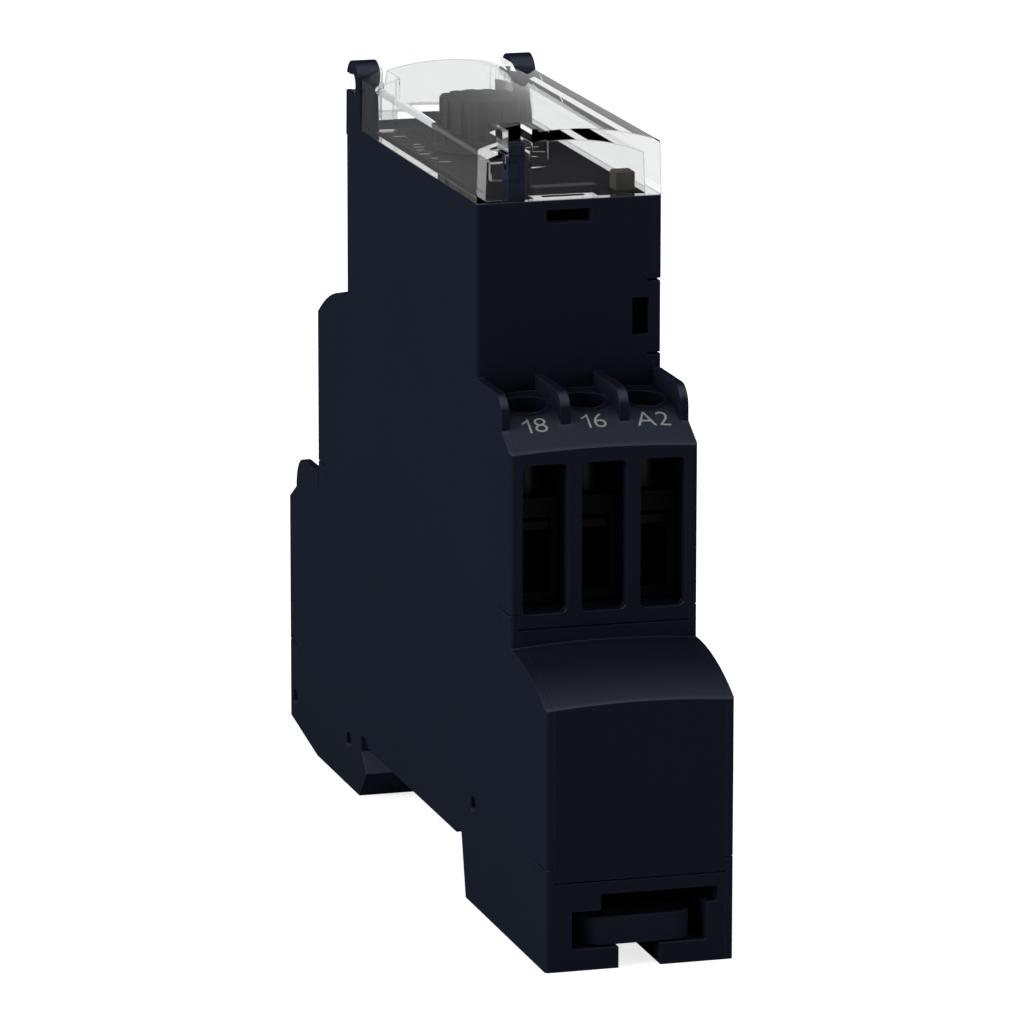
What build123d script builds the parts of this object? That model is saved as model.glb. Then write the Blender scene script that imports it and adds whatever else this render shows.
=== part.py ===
from build123d import *
from math import asin, atan2, cos, degrees, radians, sin, tan
import os

os.makedirs("parts", exist_ok=True)

# A 17.5 mm wide time relay for a 35 mm DIN rail. The rail side is down: the
# feet stand on z = 0, X is the width, Y the length and Z the depth from the
# rail. The -Y end carries terminals on its upper step and a blank cover on its
# lower step, and the +Y end has the two the other way round.

# Overall size and the three levels of the stepped housing
module_width = 17.5
block_length = 45.0
terminal_step = 11.25
block_top = 65.4
low_level = 24.35
high_level = 45.0
crown_height = 0.35

# Walls, seams and running clearances
side_wall = 0.75
corner_radius = 0.35
end_wall = 1.2
seam = 0.15
slip = 0.1
free_gap = 0.3

# Roofs of the blank covers and ledges of the terminal blocks
front_roof_rise = 3.05
rear_roof_rise = 3.85
ledge_rise = 3.15
roof_bend_reach = 0.38
roof_bend_rise = 0.62
ledge_slope_length = 3.5
ledge_slope_rise = 2.0
rib_height = 4.85
rib_end = 2.9
front_rib_radius = 2.0
rear_rib_radius = 3.0
rib_thickness = 0.9

# Seams between the end pieces, with a small ear of the wall at each corner
low_seam = 8.05
high_seam = 28.6
ear_length = 3.5
ear_height = 1.35

# DIN rail seat
rail_width = 35.0
rail_thickness = 1.0
rail_seat = 5.44
rail_play = 0.15
foot_lean = 1.4
hook_tip_reach = 1.6
hook_tip_height = 2.8
hook_foot_depth = 2.65
hook_foot_length = 15.85
hook_relief = 0.8
seat_relief = 0.4
tail_chamfer = 1.7
floor_thickness = 1.2

# Snap pins of the side cover
pin_radius = 0.85
pin_play = 0.05
pin_depth = 6.0
boss_radius = 1.9
hook_pin = (4.9, 4.5)
front_pin = (0.9, 9.4)
tail_pin = (2.1, 3.8)

# Terminals
pole_inset = 3.25
entry_width = 4.2
entry_height = 13.7
entry_bottom_rise = 1.4
entry_radius = 0.6
chamber_width = 4.75
screw_setback = 6.85
screw_hole_radius = 2.1
seat_drop = 0.1
seat_thickness = 0.9

# Clamp screws and cages
screw_radius = 1.5
screw_head_radius = 1.95
screw_head_height = 1.9
screw_slot_width = 0.5
screw_slot_depth = 0.9
cage_width = 4.4
cage_depth = 6.6
cage_height = 9.7
cage_floor = 1.0
cage_nut = 1.8
cage_cheek = 0.7
cage_travel = 4.0
thread_play = 0.05
contact_thickness = 0.8
contact_width = 2.8
contact_gap = 0.4
tip_gap = 0.15
arm_height = 1.6
arm_spacing = 2.2
tab_length = 2.4

# Boards
board_thickness = 1.6
board_standoff = 0.8
board_pad_side = 3.6
board_pad_inset = 6.5
board_pad_drop = 6.2
board_front_inset = 1.8
front_board_thickness = 1.2
front_board_drop = 6.8
joint_gap = 0.4

# Electronic parts on the main board, placed by (y, z) on its face
relay_box = (-6.0, 22.5, 30.0, 42.6)
relay_depth = 10.5
relay_edge = 0.6
relay_base = 1.4
film_box = (-10.0, 8.0, 12.0, 24.0)
film_clearance = 1.6
film_edge = 0.8
can_place = (-20.0, 17.0)
can_radius = 5.0
can_length = 11.0
disc_place = (18.0, 16.0)
disc_radius = 4.5
disc_thickness = 3.6
lead_width = 0.7
lead_spread = 5.0
resistor_place = (-13.0, 37.0)
resistor_radius = 1.8
resistor_length = 8.0
resistor_edge = 0.6
chip_place = (0.0, 49.5)
chip_size = (10.0, 4.0)
chip_height = 1.4
chip_legs = 8
leg_spacing = 1.27
leg_size = (0.45, 1.2)
leg_thickness = 0.3
header_pins = 5
header_spacing = 2.54
header_size = 2.5
header_pin = 0.64

# Fascia and the pieces under the clear cover
fascia_thickness = 1.2
fascia_setback = 5.5
knob_x = -0.8
knob_setback = 13.5
knob_radius = 3.8
knob_flutes = 14
knob_flute_width = 0.7
knob_flute_depth = 0.35
knob_lift = 0.4
knob_gap = 0.55
knob_collar_radius = 4.1
knob_collar_height = 0.7
stem_radius = 1.5
stem_play = 0.05
selector_radius = 1.85
selector_play = 0.15
selector_rise = 0.9
selector_stem_radius = 1.1
selector_setbacks = (6.7, 2.4)
selector_slot_width = 0.7
selector_slot_depth = 0.5
pot_side = 7.4
pot_height = 3.6
switch_side = 4.0
switch_height = 3.2
guide_inset = 1.7
guide_setback = 4.3
guide_size = (1.8, 1.8)
guide_rise = 1.7
guide_flange = 0.5
led_size = (2.0, 1.6)
led_height = 0.9
fascia_post_side = 1.6
fascia_post_inset = 1.3
fascia_post_setback = 2.5
fascia_post_front = 9.5

# Clear cover and its hinge
cover_wall = 1.2
cover_draft = 0.15
cover_lift = 0.05
cover_side_height = 5.0
cover_arch_rise = 1.45
hinge_setback = 2.4
hinge_rise = 4.0
hinge_pin_radius = 1.0
hinge_play = 0.05
ear_post_radius = 2.25
ear_post_width = 2.25
ear_post_setback = 5.2
ear_slot_height = 1.7
cover_rear_setback = 0.6
cover_rear_rise = 1.0
cover_side_gap = 0.15
cover_inset = 0.03
cover_edge_radius = 0.35
post_clearance = 0.35
seal_slot_length = 0.7
seal_slot_drop = 0.85
seal_rim = 0.6
seal_rim_rise = 0.1
cover_tab_size = (1.6, 0.6)
cover_tab_drop = 2.2
latch_width = 4.0
latch_thickness = 0.8
latch_depth = 2.4
latch_nose = 0.15
latch_lug_width = 6.1
latch_lug_height = 0.95
latch_back = 1.65
latch_slot = (4.2, 1.25)
latch_slot_drop = 1.47
seal_eye = (2.6, 1.6)
seal_eye_inset = 2.8
seal_eye_rise = 2.8
seal_post_width = 1.6
seal_post_thickness = 1.8
seal_post_inset = 4.15
seal_post_drop = 0.05
seal_hole_radius = 0.5

# Snap tab on the right edge of the front block
tab_drop = 7.85
tab_height = 6.55
tab_reach = 1.35
tab_inset = 0.12
tab_slit = 0.25
tab_window = (1.6, 3.45)
tab_window_inset = 1.97
tab_window_rise = 3.37

# DIN clip
clip_width = 10.4
clip_thickness = 2.5
clip_bottom = 2.1
clip_front_inset = 0.4
clip_tab_length = 3.4
clip_corner = 2.0
clip_stem_width = 6.4
clip_nose_reach = 1.2
clip_stop_width = 8.8
clip_stop_length = 1.2
clip_stop_setback = 4.0
clip_travel = 2.6
clip_play = 0.15
recess_width = 12.6
recess_height = 3.5
recess_depth = 8.0
notch_left = -3.6
notch_right = 7.3
notch_height = 1.6
foot_channel = 3.9
leaf_thickness = 0.7
leaf_radius = 6.2

# Places worked out from the sizes above
half_width = module_width / 2
inner_half = half_width - side_wall
block_half = block_length / 2
mid_half = block_half + terminal_step
base_half = mid_half + terminal_step
floor_top = rail_seat + floor_thickness
rail_half = rail_width / 2
block_inner = block_half - end_wall
front_wall_bottom = high_level + ledge_rise - end_wall
nose_end = -rail_half + clip_nose_reach + rail_play
board_face = inner_half - board_standoff - board_thickness
film_depth = board_face + inner_half - film_clearance
front_board_level = block_top - front_board_drop
front_board_top = front_board_level + front_board_thickness
board_top = front_board_level - joint_gap
fascia_bottom = block_top - fascia_thickness
fascia_end = block_half - fascia_setback
cover_base = block_top + cover_lift
cover_edge_height = cover_base + cover_side_height
cover_crown = cover_edge_height + cover_arch_rise
cover_rear = block_half - cover_rear_setback
hinge_y = block_half - hinge_setback
hinge_z = block_top + hinge_rise
ear_post_front = block_half - ear_post_setback
seal_post_x = -half_width + seal_post_inset
tab_top = block_top - tab_drop
tab_bottom = tab_top - tab_height
knob_place = (knob_x, fascia_end - knob_setback)
knob_bottom = block_top + knob_lift
knob_top = cover_crown - cover_wall - knob_gap
selector_places = [(0.0, fascia_end - setback) for setback in selector_setbacks]
selector_top = block_top + selector_rise
guide_place = (inner_half - guide_inset, -block_half + guide_setback)
guide_top = block_top + guide_rise
seal_eye_centre = (-half_width + seal_eye_inset, block_top + seal_eye_rise)
tab_window_centre = (half_width - tab_window_inset, tab_bottom + tab_window_rise)
pin_places = [
    (rail_half + hook_pin[0], hook_pin[1]),
    (-block_half + front_pin[0], front_pin[1]),
    (base_half - tail_pin[0], tail_pin[1]),
]
board_pad_places = [
    (-block_half + board_pad_inset, high_seam - board_pad_inset),
    (mid_half - 2 * board_pad_inset, high_level - 2 * board_pad_inset),
    (-block_half + board_pad_inset, board_top - board_pad_drop),
    (block_half - board_pad_inset, board_top - board_pad_drop),
]
fascia_post_places = [
    (side * (inner_half - fascia_post_inset), y)
    for side in (-1, 1)
    for y in (-block_half + fascia_post_front, fascia_end - fascia_post_setback)
]
crown_radius = (half_width**2 + crown_height**2) / (2 * crown_height)
crown_axis_z = high_level - crown_radius
crown_swing = degrees(asin((half_width + end_wall) / -crown_axis_z))
ledge_bend_length = (ledge_rise - ledge_slope_rise) / tan(
    atan2(ledge_slope_rise, ledge_slope_length) / 2
)
pole_spacing = half_width - pole_inset
pole_places = [-pole_spacing, 0.0, pole_spacing]
far = 2 * base_half


def span_box(x_low, x_high, y_low, y_high, z_low, z_high, mode=Mode.ADD):
    """A box given by its limits, joined to the part being built."""
    centre = ((x_low + x_high) / 2, (y_low + y_high) / 2, (z_low + z_high) / 2)
    with Locations(centre):
        return Box(x_high - x_low, y_high - y_low, z_high - z_low, mode=mode)


# The outer form of the whole housing, with its ledges and roofs crowned across
# the width. Every housing piece is cut from it, so that their faces line up.

crown_plane = Plane(
    origin=(0, 0, crown_axis_z),
    x_dir=(0, 1, 0),
    z_dir=(cos(radians(crown_swing)), 0, sin(radians(crown_swing))),
)


def from_crown(y, z):
    """A point of the lengthwise section, measured from the crown's axis."""
    return (y, z - crown_axis_z)


def blank_roof(face, end, corner, rise):
    """The arc of a blank cover's roof, from its outer corner up to the wall."""
    mid = face + (end - face) * roof_bend_reach
    ThreePointArc(
        from_crown(face, corner),
        from_crown(mid, corner + rise * roof_bend_rise),
        from_crown(end, corner + rise),
    )


def terminal_ledge(face, end, corner):
    """A terminal ledge: a slope from its corner, a bend and a flat up to the wall."""
    inward = 1 if end > face else -1
    slope_end = from_crown(face + inward * ledge_slope_length, corner + ledge_slope_rise)
    flat_y = face + inward * (ledge_slope_length + ledge_bend_length)
    flat_start = from_crown(flat_y, corner + ledge_rise)
    Line(from_crown(face, corner), slope_end)
    TangentArc(slope_end, flat_start, tangent=(inward * ledge_slope_length, ledge_slope_rise))
    Line(flat_start, from_crown(end, corner + ledge_rise))


def rib_outline(sign, face, corner, radius):
    """The outline of a rib beside a terminal ledge, rounded at its outer end."""
    wall = face - terminal_step
    front = face - rib_end
    top = corner + rib_height - crown_height
    Polyline(
        (sign * (front - radius), top),
        (sign * wall, top),
        (sign * wall, corner - end_wall),
        (sign * front, corner - end_wall),
        (sign * front, top - radius),
    )
    TangentArc(
        (sign * front, top - radius),
        (sign * (front - radius), top),
        tangent=(0, 1),
    )


with BuildPart() as envelope:
    with BuildSketch(crown_plane):
        with BuildLine():
            front_roof_top = from_crown(-mid_half, low_level + front_roof_rise)
            front_ledge_top = from_crown(-block_half, high_level + ledge_rise)
            rear_roof_top = from_crown(block_half, high_level + rear_roof_rise)
            rear_ledge_top = from_crown(mid_half, low_level + ledge_rise)
            Line(from_crown(-base_half, -end_wall), from_crown(-base_half, low_level))
            blank_roof(-base_half, -mid_half, low_level, front_roof_rise)
            Line(front_roof_top, from_crown(-mid_half, high_level))
            terminal_ledge(-mid_half, -block_half, high_level)
            Line(front_ledge_top, rear_roof_top)
            blank_roof(mid_half, block_half, high_level, rear_roof_rise)
            Line(from_crown(mid_half, high_level), rear_ledge_top)
            terminal_ledge(base_half, mid_half, low_level)
            Line(from_crown(base_half, low_level), from_crown(base_half, -end_wall))
            Line(from_crown(base_half, -end_wall), from_crown(-base_half, -end_wall))
        make_face()
    revolve(axis=Axis((0, 0, crown_axis_z), (0, 1, 0)), revolution_arc=2 * crown_swing)
    span_box(-half_width, half_width, -far, far, 0, block_top, mode=Mode.INTERSECT)
    span_box(-half_width, half_width, -block_half, block_half, low_level, block_top)
    upright = [
        edge
        for edge in envelope.edges().filter_by(Axis.Z)
        if abs(edge.center().X) > inner_half and edge.length > 2 * end_wall
    ]
    fillet(upright, corner_radius)
    for side in (-1, 1):
        with BuildSketch(Plane.YZ.offset(side * (half_width - side_wall / 2))):
            with BuildLine():
                rib_outline(-1, mid_half, high_level, front_rib_radius)
            make_face()
            with BuildLine():
                rib_outline(1, base_half, low_level, rear_rib_radius)
            make_face()
        extrude(amount=side_wall / 2, both=True)
    # the rail recess with its hook and a relief over the clip's nose, and the sloped tail
    with BuildSketch(Plane.YZ):
        with BuildLine():
            Polyline(
                (-(rail_half + rail_play + foot_lean), -end_wall),
                (-(rail_half + rail_play + foot_lean), 0),
                (-(rail_half + rail_play), rail_seat + seat_relief),
                (nose_end + clip_play, rail_seat + seat_relief),
                (nose_end + clip_play, rail_seat),
                (rail_half - hook_tip_reach - hook_relief, rail_seat),
                (rail_half - hook_tip_reach + hook_relief / 2, rail_seat + hook_relief),
                (rail_half + rail_play / 2, rail_seat + hook_relief),
                (rail_half + 2 * rail_play, rail_seat + hook_relief / 2),
                (rail_half + 2 * rail_play, rail_seat - rail_thickness + rail_play),
                (rail_half - hook_tip_reach, hook_tip_height),
                (rail_half - hook_tip_reach + hook_foot_depth, 0),
                (rail_half - hook_tip_reach + hook_foot_depth, -end_wall),
                close=True,
            )
        make_face()
        with BuildLine():
            tail_start = rail_half - hook_tip_reach + hook_foot_depth + hook_foot_length
            Polyline(
                (tail_start, 0),
                (base_half, tail_chamfer),
                (far, tail_chamfer),
                (far, -end_wall),
                (tail_start, -end_wall),
                close=True,
            )
        make_face()
    extrude(amount=module_width, both=True, mode=Mode.SUBTRACT)


def cut_ears(side):
    """The slits that free the small wall ears at the four seam corners."""
    for face, level in ((mid_half, high_seam), (base_half, low_seam)):
        for end in (-1, 1):
            y_face = end * face
            y_back = end * (face - ear_length)
            x_low, x_high = sorted((side * inner_half, side * (half_width + slip)))
            y_low, y_high = sorted((y_back, y_face + end * slip))
            top = level + ear_height
            span_box(x_low, x_high, y_low, y_high, top, top + seam, mode=Mode.SUBTRACT)
            y_low, y_high = sorted((y_back, y_back - end * seam))
            span_box(x_low, x_high, y_low, y_high, level, top + seam, mode=Mode.SUBTRACT)


# The main housing: left wall, base with the feet, the two walls of the 45 mm
# block, the hinge posts and the seal post
post_inner = half_width - ear_post_width
front_wall_y = -block_half

with BuildPart() as housing:
    add(envelope.part)
    with BuildSketch(Plane.YZ.offset(-inner_half)):
        Rectangle(2 * far, 4 * block_top)
        with BuildLine():
            Polyline(
                (-far, -far),
                (-far, low_seam),
                (-(rail_half + 2 * end_wall), low_seam),
                (-(rail_half + end_wall), floor_top),
                (rail_half + end_wall, floor_top),
                (rail_half + 2 * end_wall, low_seam),
                (far, low_seam),
                (far, -far),
                close=True,
            )
        make_face(mode=Mode.SUBTRACT)
        wall_middle = (block_half + block_inner) / 2
        wall_height = block_top - front_wall_bottom
        with Locations(
            (-wall_middle, front_wall_bottom + wall_height / 2),
            (wall_middle, front_wall_bottom + wall_height / 2),
        ):
            Rectangle(end_wall, wall_height, mode=Mode.SUBTRACT)
    extrude(amount=2 * module_width, mode=Mode.SUBTRACT)
    span_box(inner_half, module_width, -far, far, -far, block_top, mode=Mode.SUBTRACT)
    # the shelf behind the fascia carries the two hinge posts
    span_box(
        -half_width, inner_half, fascia_end + slip, block_half,
        block_top - fascia_thickness, block_top,
    )
    for side in (-1, 1):
        x_low, x_high = sorted((side * post_inner, side * half_width))
        with BuildSketch(Plane.YZ.offset(x_low)):
            with BuildLine():
                Polyline(
                    (hinge_y - ear_post_radius, hinge_z),
                    (ear_post_front, block_top - fascia_thickness),
                    (block_half, block_top - fascia_thickness),
                    (hinge_y + ear_post_radius, hinge_z),
                )
                ThreePointArc(
                    (hinge_y + ear_post_radius, hinge_z),
                    (hinge_y, hinge_z + ear_post_radius),
                    (hinge_y - ear_post_radius, hinge_z),
                )
            make_face()
            with Locations((hinge_y, hinge_z)):
                Circle(hinge_pin_radius + hinge_play, mode=Mode.SUBTRACT)
            with Locations((hinge_y + ear_post_radius, hinge_z)):
                Rectangle(2 * ear_post_radius, ear_slot_height, mode=Mode.SUBTRACT)
        extrude(amount=ear_post_width)
    span_box(inner_half, module_width, -far, far, -far, block_top, mode=Mode.SUBTRACT)
    # seal post behind the front wall, with a wire hole across it
    post_back = front_wall_y + end_wall + seal_post_thickness
    span_box(
        seal_post_x - seal_post_width / 2,
        seal_post_x + seal_post_width / 2,
        front_wall_y + end_wall,
        post_back,
        block_top - 2 * fascia_thickness,
        cover_edge_height - seal_post_drop,
    )
    with BuildSketch(Plane.YZ.offset(seal_post_x)):
        with Locations((post_back - seal_post_thickness / 2, seal_eye_centre[1])):
            Circle(seal_hole_radius)
    extrude(amount=seal_post_width, both=True, mode=Mode.SUBTRACT)
    # slot that catches the cover's latch
    with BuildSketch(Plane.XZ.offset(-front_wall_y)):
        with Locations((0, block_top - latch_slot_drop)):
            Rectangle(*latch_slot)
        with Locations(tab_window_centre):
            Rectangle(*tab_window)
    extrude(amount=-end_wall, mode=Mode.SUBTRACT)
    # the springy tab that laps over the side cover, at both ends of the block
    for end in (-1, 1):
        y_low, y_high = sorted((end * block_half, end * block_inner))
        span_box(inner_half, half_width - tab_inset, y_low, y_high, tab_bottom, tab_top)
        for z_slit in (tab_bottom - tab_slit, tab_top):
            span_box(
                half_width - tab_reach, half_width, y_low, y_high,
                z_slit, z_slit + tab_slit, mode=Mode.SUBTRACT,
            )
    # bosses that take the side cover's pins, open through the left wall
    with BuildSketch(Plane.YZ.offset(-half_width)):
        with Locations(pin_places[1]):
            Circle(boss_radius)
    extrude(amount=module_width - side_wall)
    with BuildSketch(Plane.YZ.offset(-half_width)):
        with Locations(*pin_places):
            Circle(pin_radius + pin_play)
    extrude(amount=2 * module_width, mode=Mode.SUBTRACT)
    # pocket, guide and finger recess of the DIN clip
    clip_front = -base_half + clip_front_inset
    clip_top = clip_bottom + clip_thickness
    channel_end = -rail_half + rail_play
    pocket_low = clip_bottom - clip_play
    pocket_high = clip_top + clip_play
    recess_end = -base_half + recess_depth
    stop_y = -rail_half - clip_stop_setback
    stem_half = clip_stem_width / 2 + clip_play
    span_box(
        -recess_width / 2, recess_width / 2, -far, recess_end,
        pocket_low, pocket_low + recess_height, mode=Mode.SUBTRACT,
    )
    span_box(
        notch_left, notch_right, -far, recess_end,
        pocket_low + recess_height, pocket_low + recess_height + notch_height - clip_play,
        mode=Mode.SUBTRACT,
    )
    span_box(
        -stem_half, stem_half, -far, channel_end, pocket_low, pocket_high,
        mode=Mode.SUBTRACT,
    )
    span_box(
        -clip_stop_width / 2 - clip_play, clip_stop_width / 2 + clip_play,
        stop_y - clip_travel - clip_play, stop_y + clip_stop_length + clip_play,
        pocket_low, pocket_high, mode=Mode.SUBTRACT,
    )
    leaf_end = stop_y - clip_travel - 2 * end_wall
    span_box(
        -recess_width / 2, recess_width / 2, -far, leaf_end,
        pocket_low, pocket_high, mode=Mode.SUBTRACT,
    )
    span_box(
        -foot_channel / 2, foot_channel / 2, -far, channel_end,
        -end_wall, clip_bottom, mode=Mode.SUBTRACT,
    )
    cut_ears(-1)
housing.part.label = "housing"
export_step(housing.part, "parts/housing.step")


# The right wall, snapped on with three pins
with BuildPart() as side_cover:
    add(envelope.part)
    span_box(inner_half, half_width, -far, far, 0, block_top, mode=Mode.INTERSECT)
    for end in (-1, 1):
        y_low, y_high = sorted((end * (block_half + slip), end * (block_inner - slip)))
        span_box(
            inner_half, half_width, y_low, y_high,
            tab_bottom - tab_slit, tab_top + tab_slit, mode=Mode.SUBTRACT,
        )
    with BuildSketch(Plane.YZ.offset(inner_half)):
        with Locations(*pin_places):
            Circle(pin_radius)
    extrude(amount=-pin_depth)
    # pads that the main board leans on
    with BuildSketch(Plane.YZ.offset(inner_half)):
        with Locations(*board_pad_places):
            Rectangle(board_pad_side, board_pad_side)
    extrude(amount=-board_standoff)
    cut_ears(1)
side_cover.part.label = "side_cover"
export_step(side_cover.part, "parts/side_cover.step")


def end_region(sign, face, bottom, root_top):
    """Cuts the part being built down to one end piece between the side walls."""
    root_y = face - terminal_step
    span_box(-inner_half, inner_half, -far, far, bottom, block_top, mode=Mode.INTERSECT)
    y_low, y_high = sorted((sign * (root_y - end_wall), -sign * far))
    span_box(-far, far, y_low, y_high, -far, far, mode=Mode.SUBTRACT)
    y_low, y_high = sorted((sign * (root_y - 2 * end_wall), sign * root_y))
    span_box(-far, far, y_low, y_high, root_top, far, mode=Mode.SUBTRACT)
    y_low, y_high = sorted((sign * face, sign * far))
    span_box(-far, far, y_low, y_high, -far, far, mode=Mode.SUBTRACT)


def make_blank_cover(name, sign, face, corner, rise, bottom, root_top):
    """A blank end cover: a plate with a rounded roof and an open inside."""
    root_y = face - terminal_step
    roof_inside = corner - end_wall
    with BuildPart() as blank:
        add(envelope.part)
        end_region(sign, face, bottom, root_top)
        with BuildSketch(Plane.YZ):
            with BuildLine():
                Polyline(
                    (sign * (root_y - 2 * end_wall), roof_inside + rise),
                    (sign * (root_y - 2 * end_wall), bottom - end_wall),
                    (sign * (face - end_wall), bottom - end_wall),
                    (sign * (face - end_wall), roof_inside),
                )
                ThreePointArc(
                    (sign * (face - end_wall), roof_inside),
                    (
                        sign * (face - end_wall - terminal_step * roof_bend_reach),
                        roof_inside + rise * roof_bend_rise,
                    ),
                    (sign * (root_y - end_wall), roof_inside + rise),
                )
                Line(
                    (sign * (root_y - end_wall), roof_inside + rise),
                    (sign * (root_y - 2 * end_wall), roof_inside + rise),
                )
            make_face()
        extrude(amount=module_width, both=True, mode=Mode.SUBTRACT)
    blank.part.label = name
    export_step(blank.part, f"parts/{name}.step")


def make_terminal_block(name, sign, face, corner, bottom, root_top, rib_radius):
    """A terminal block: three wire entries, screw holes and ribs between poles."""
    seat = corner - seat_drop
    floor = bottom - seam + entry_bottom_rise
    axis_y = sign * (face - screw_setback)
    root_y = face - terminal_step
    face_plane = Plane.XZ.offset(-sign * face)
    with BuildPart() as block:
        add(envelope.part)
        end_region(sign, face, bottom, root_top)
        # one chamber for each pole, open to the inside of the housing
        for x in pole_places:
            x_low = -far if x < 0 else x - chamber_width / 2
            x_high = far if x > 0 else x + chamber_width / 2
            y_low, y_high = sorted((sign * (face - end_wall), sign * (root_y - 2 * end_wall)))
            span_box(
                x_low, x_high, y_low, y_high, floor, seat - seat_thickness,
                mode=Mode.SUBTRACT,
            )
        with BuildSketch(face_plane):
            with Locations(*[(x, floor + entry_height / 2) for x in pole_places]):
                RectangleRounded(entry_width, entry_height, entry_radius)
        extrude(amount=sign * 1.5 * end_wall, mode=Mode.SUBTRACT)
        for x in (-pole_spacing / 2, pole_spacing / 2):
            with BuildSketch(Plane.YZ.offset(x)):
                with BuildLine():
                    rib_outline(sign, face, corner, rib_radius)
                make_face()
            extrude(amount=rib_thickness / 2, both=True)
        with BuildSketch(Plane.XY.offset(seat)):
            with Locations(*[(x, axis_y) for x in pole_places]):
                Circle(screw_hole_radius)
        extrude(amount=terminal_step, mode=Mode.SUBTRACT)
        with BuildSketch(Plane.XY.offset(seat)):
            with Locations(*[(x, axis_y) for x in pole_places]):
                Circle(screw_radius + slip)
        extrude(amount=-2 * seat_thickness, mode=Mode.SUBTRACT)
    block.part.label = name
    export_step(block.part, f"parts/{name}.step")


make_terminal_block(
    "front_terminal_block", -1, mid_half, high_level, high_seam + seam, front_wall_bottom,
    front_rib_radius,
)
make_blank_cover(
    "front_blank_cover", -1, base_half, low_level, front_roof_rise,
    low_seam + seam, high_seam,
)
make_terminal_block(
    "rear_terminal_block", 1, base_half, low_level, low_seam + seam, high_seam,
    rear_rib_radius,
)
make_blank_cover(
    "rear_blank_cover", 1, mid_half, high_level, rear_roof_rise,
    high_seam + seam, front_wall_bottom,
)


# Clamp screws, rising cages and contact bars, three for each end
def make_screw(name, x, y, seat, tip):
    """A slotted cheese head clamp screw, turned down towards the rail."""
    with BuildPart() as screw:
        with BuildSketch(Plane.XY.offset(seat)):
            with Locations((x, y)):
                Circle(screw_head_radius)
        extrude(amount=screw_head_height)
        with BuildSketch(Plane.XY.offset(seat)):
            with Locations((x, y)):
                Circle(screw_radius)
        extrude(amount=tip - seat)
        with BuildSketch(Plane.XY.offset(seat + screw_head_height)):
            with Locations((x, y)):
                Rectangle(3 * screw_head_radius, screw_slot_width)
        extrude(amount=-screw_slot_depth, mode=Mode.SUBTRACT)
    screw.part.label = name
    export_step(screw.part, f"parts/{name}.step")


def make_cage(name, x, y, top):
    """A rising clamp cage: a rectangular loop with a threaded top."""
    inner_height = cage_height - cage_floor - cage_nut
    with BuildPart() as cage:
        with BuildSketch(Plane.XZ.offset(-y)) as loop:
            with Locations((x, top - cage_height / 2)):
                Rectangle(cage_width, cage_height)
            chamfer(loop.vertices(), cage_cheek / 2)
            with Locations((x, top - cage_nut - inner_height / 2)):
                Rectangle(cage_width - 2 * cage_cheek, inner_height, mode=Mode.SUBTRACT)
        extrude(amount=cage_depth / 2, both=True)
        with BuildSketch(Plane.XY.offset(top)):
            with Locations((x, y)):
                Circle(screw_radius + thread_play)
        extrude(amount=-2 * cage_nut, mode=Mode.SUBTRACT)
    cage.part.label = name
    export_step(cage.part, f"parts/{name}.step")


def make_contact(name, sign, face, x, bar_top, arm_drop):
    """A contact bar through the cage, with a bent arm soldered to the board."""
    arm_start = face - terminal_step - end_wall - free_gap / 2
    arm_end = arm_start - contact_thickness
    with BuildPart() as contact:
        with BuildSketch(Plane.YZ.offset(x)):
            with BuildLine():
                front = sign * (face - screw_setback + cage_depth / 2 - slip)
                Polyline(
                    (front, bar_top),
                    (front, bar_top - contact_thickness),
                    (sign * arm_start, bar_top - contact_thickness),
                    (sign * arm_start, bar_top - arm_drop),
                    (sign * arm_end, bar_top - arm_drop),
                    (sign * arm_end, bar_top),
                    close=True,
                )
            make_face()
        extrude(amount=contact_width / 2, both=True)
        y_low, y_high = sorted((sign * arm_start, sign * arm_end))
        span_box(
            x - contact_width / 2, board_face, y_low, y_high,
            bar_top - arm_drop - arm_height, bar_top - arm_drop,
        )
        y_low, y_high = sorted((sign * arm_start, sign * (arm_end - tab_length)))
        span_box(
            board_face - contact_thickness, board_face, y_low, y_high,
            bar_top - arm_drop - arm_height, bar_top - arm_drop,
        )
    contact.part.label = name
    export_step(contact.part, f"parts/{name}.step")


pole_names = ("left", "middle", "right")
for end_name, sign, face, corner in (
    ("front", -1, mid_half, high_level),
    ("rear", 1, base_half, low_level),
):
    seat = corner - seat_drop
    cage_top = seat - seat_thickness - slip - cage_travel
    bar_top = cage_top - cage_nut - contact_gap
    for index, (pole, x) in enumerate(zip(pole_names, pole_places)):
        axis_y = sign * (face - screw_setback)
        make_screw(f"{end_name}_{pole}_screw", x, axis_y, seat, bar_top + tip_gap)
        make_cage(f"{end_name}_{pole}_cage", x, axis_y, cage_top)
        drop = arm_spacing * (len(pole_places) - index)
        make_contact(f"{end_name}_{pole}_contact", sign, face, x, bar_top, drop)


# The main board stands beside the side cover and steps back like the housing
board_rear = mid_half - end_wall - free_gap / 2 - contact_thickness - slip
board_front = -(block_inner - free_gap / 2 - contact_thickness - slip)
board_mid_front = -(mid_half - end_wall - joint_gap)
board_low_front = -(base_half - end_wall - board_front_inset)
board_bottom = low_seam + free_gap
board_low_step = low_level - end_wall - joint_gap
board_step = high_seam - end_wall
board_shoulder = high_level - end_wall - joint_gap

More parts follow.
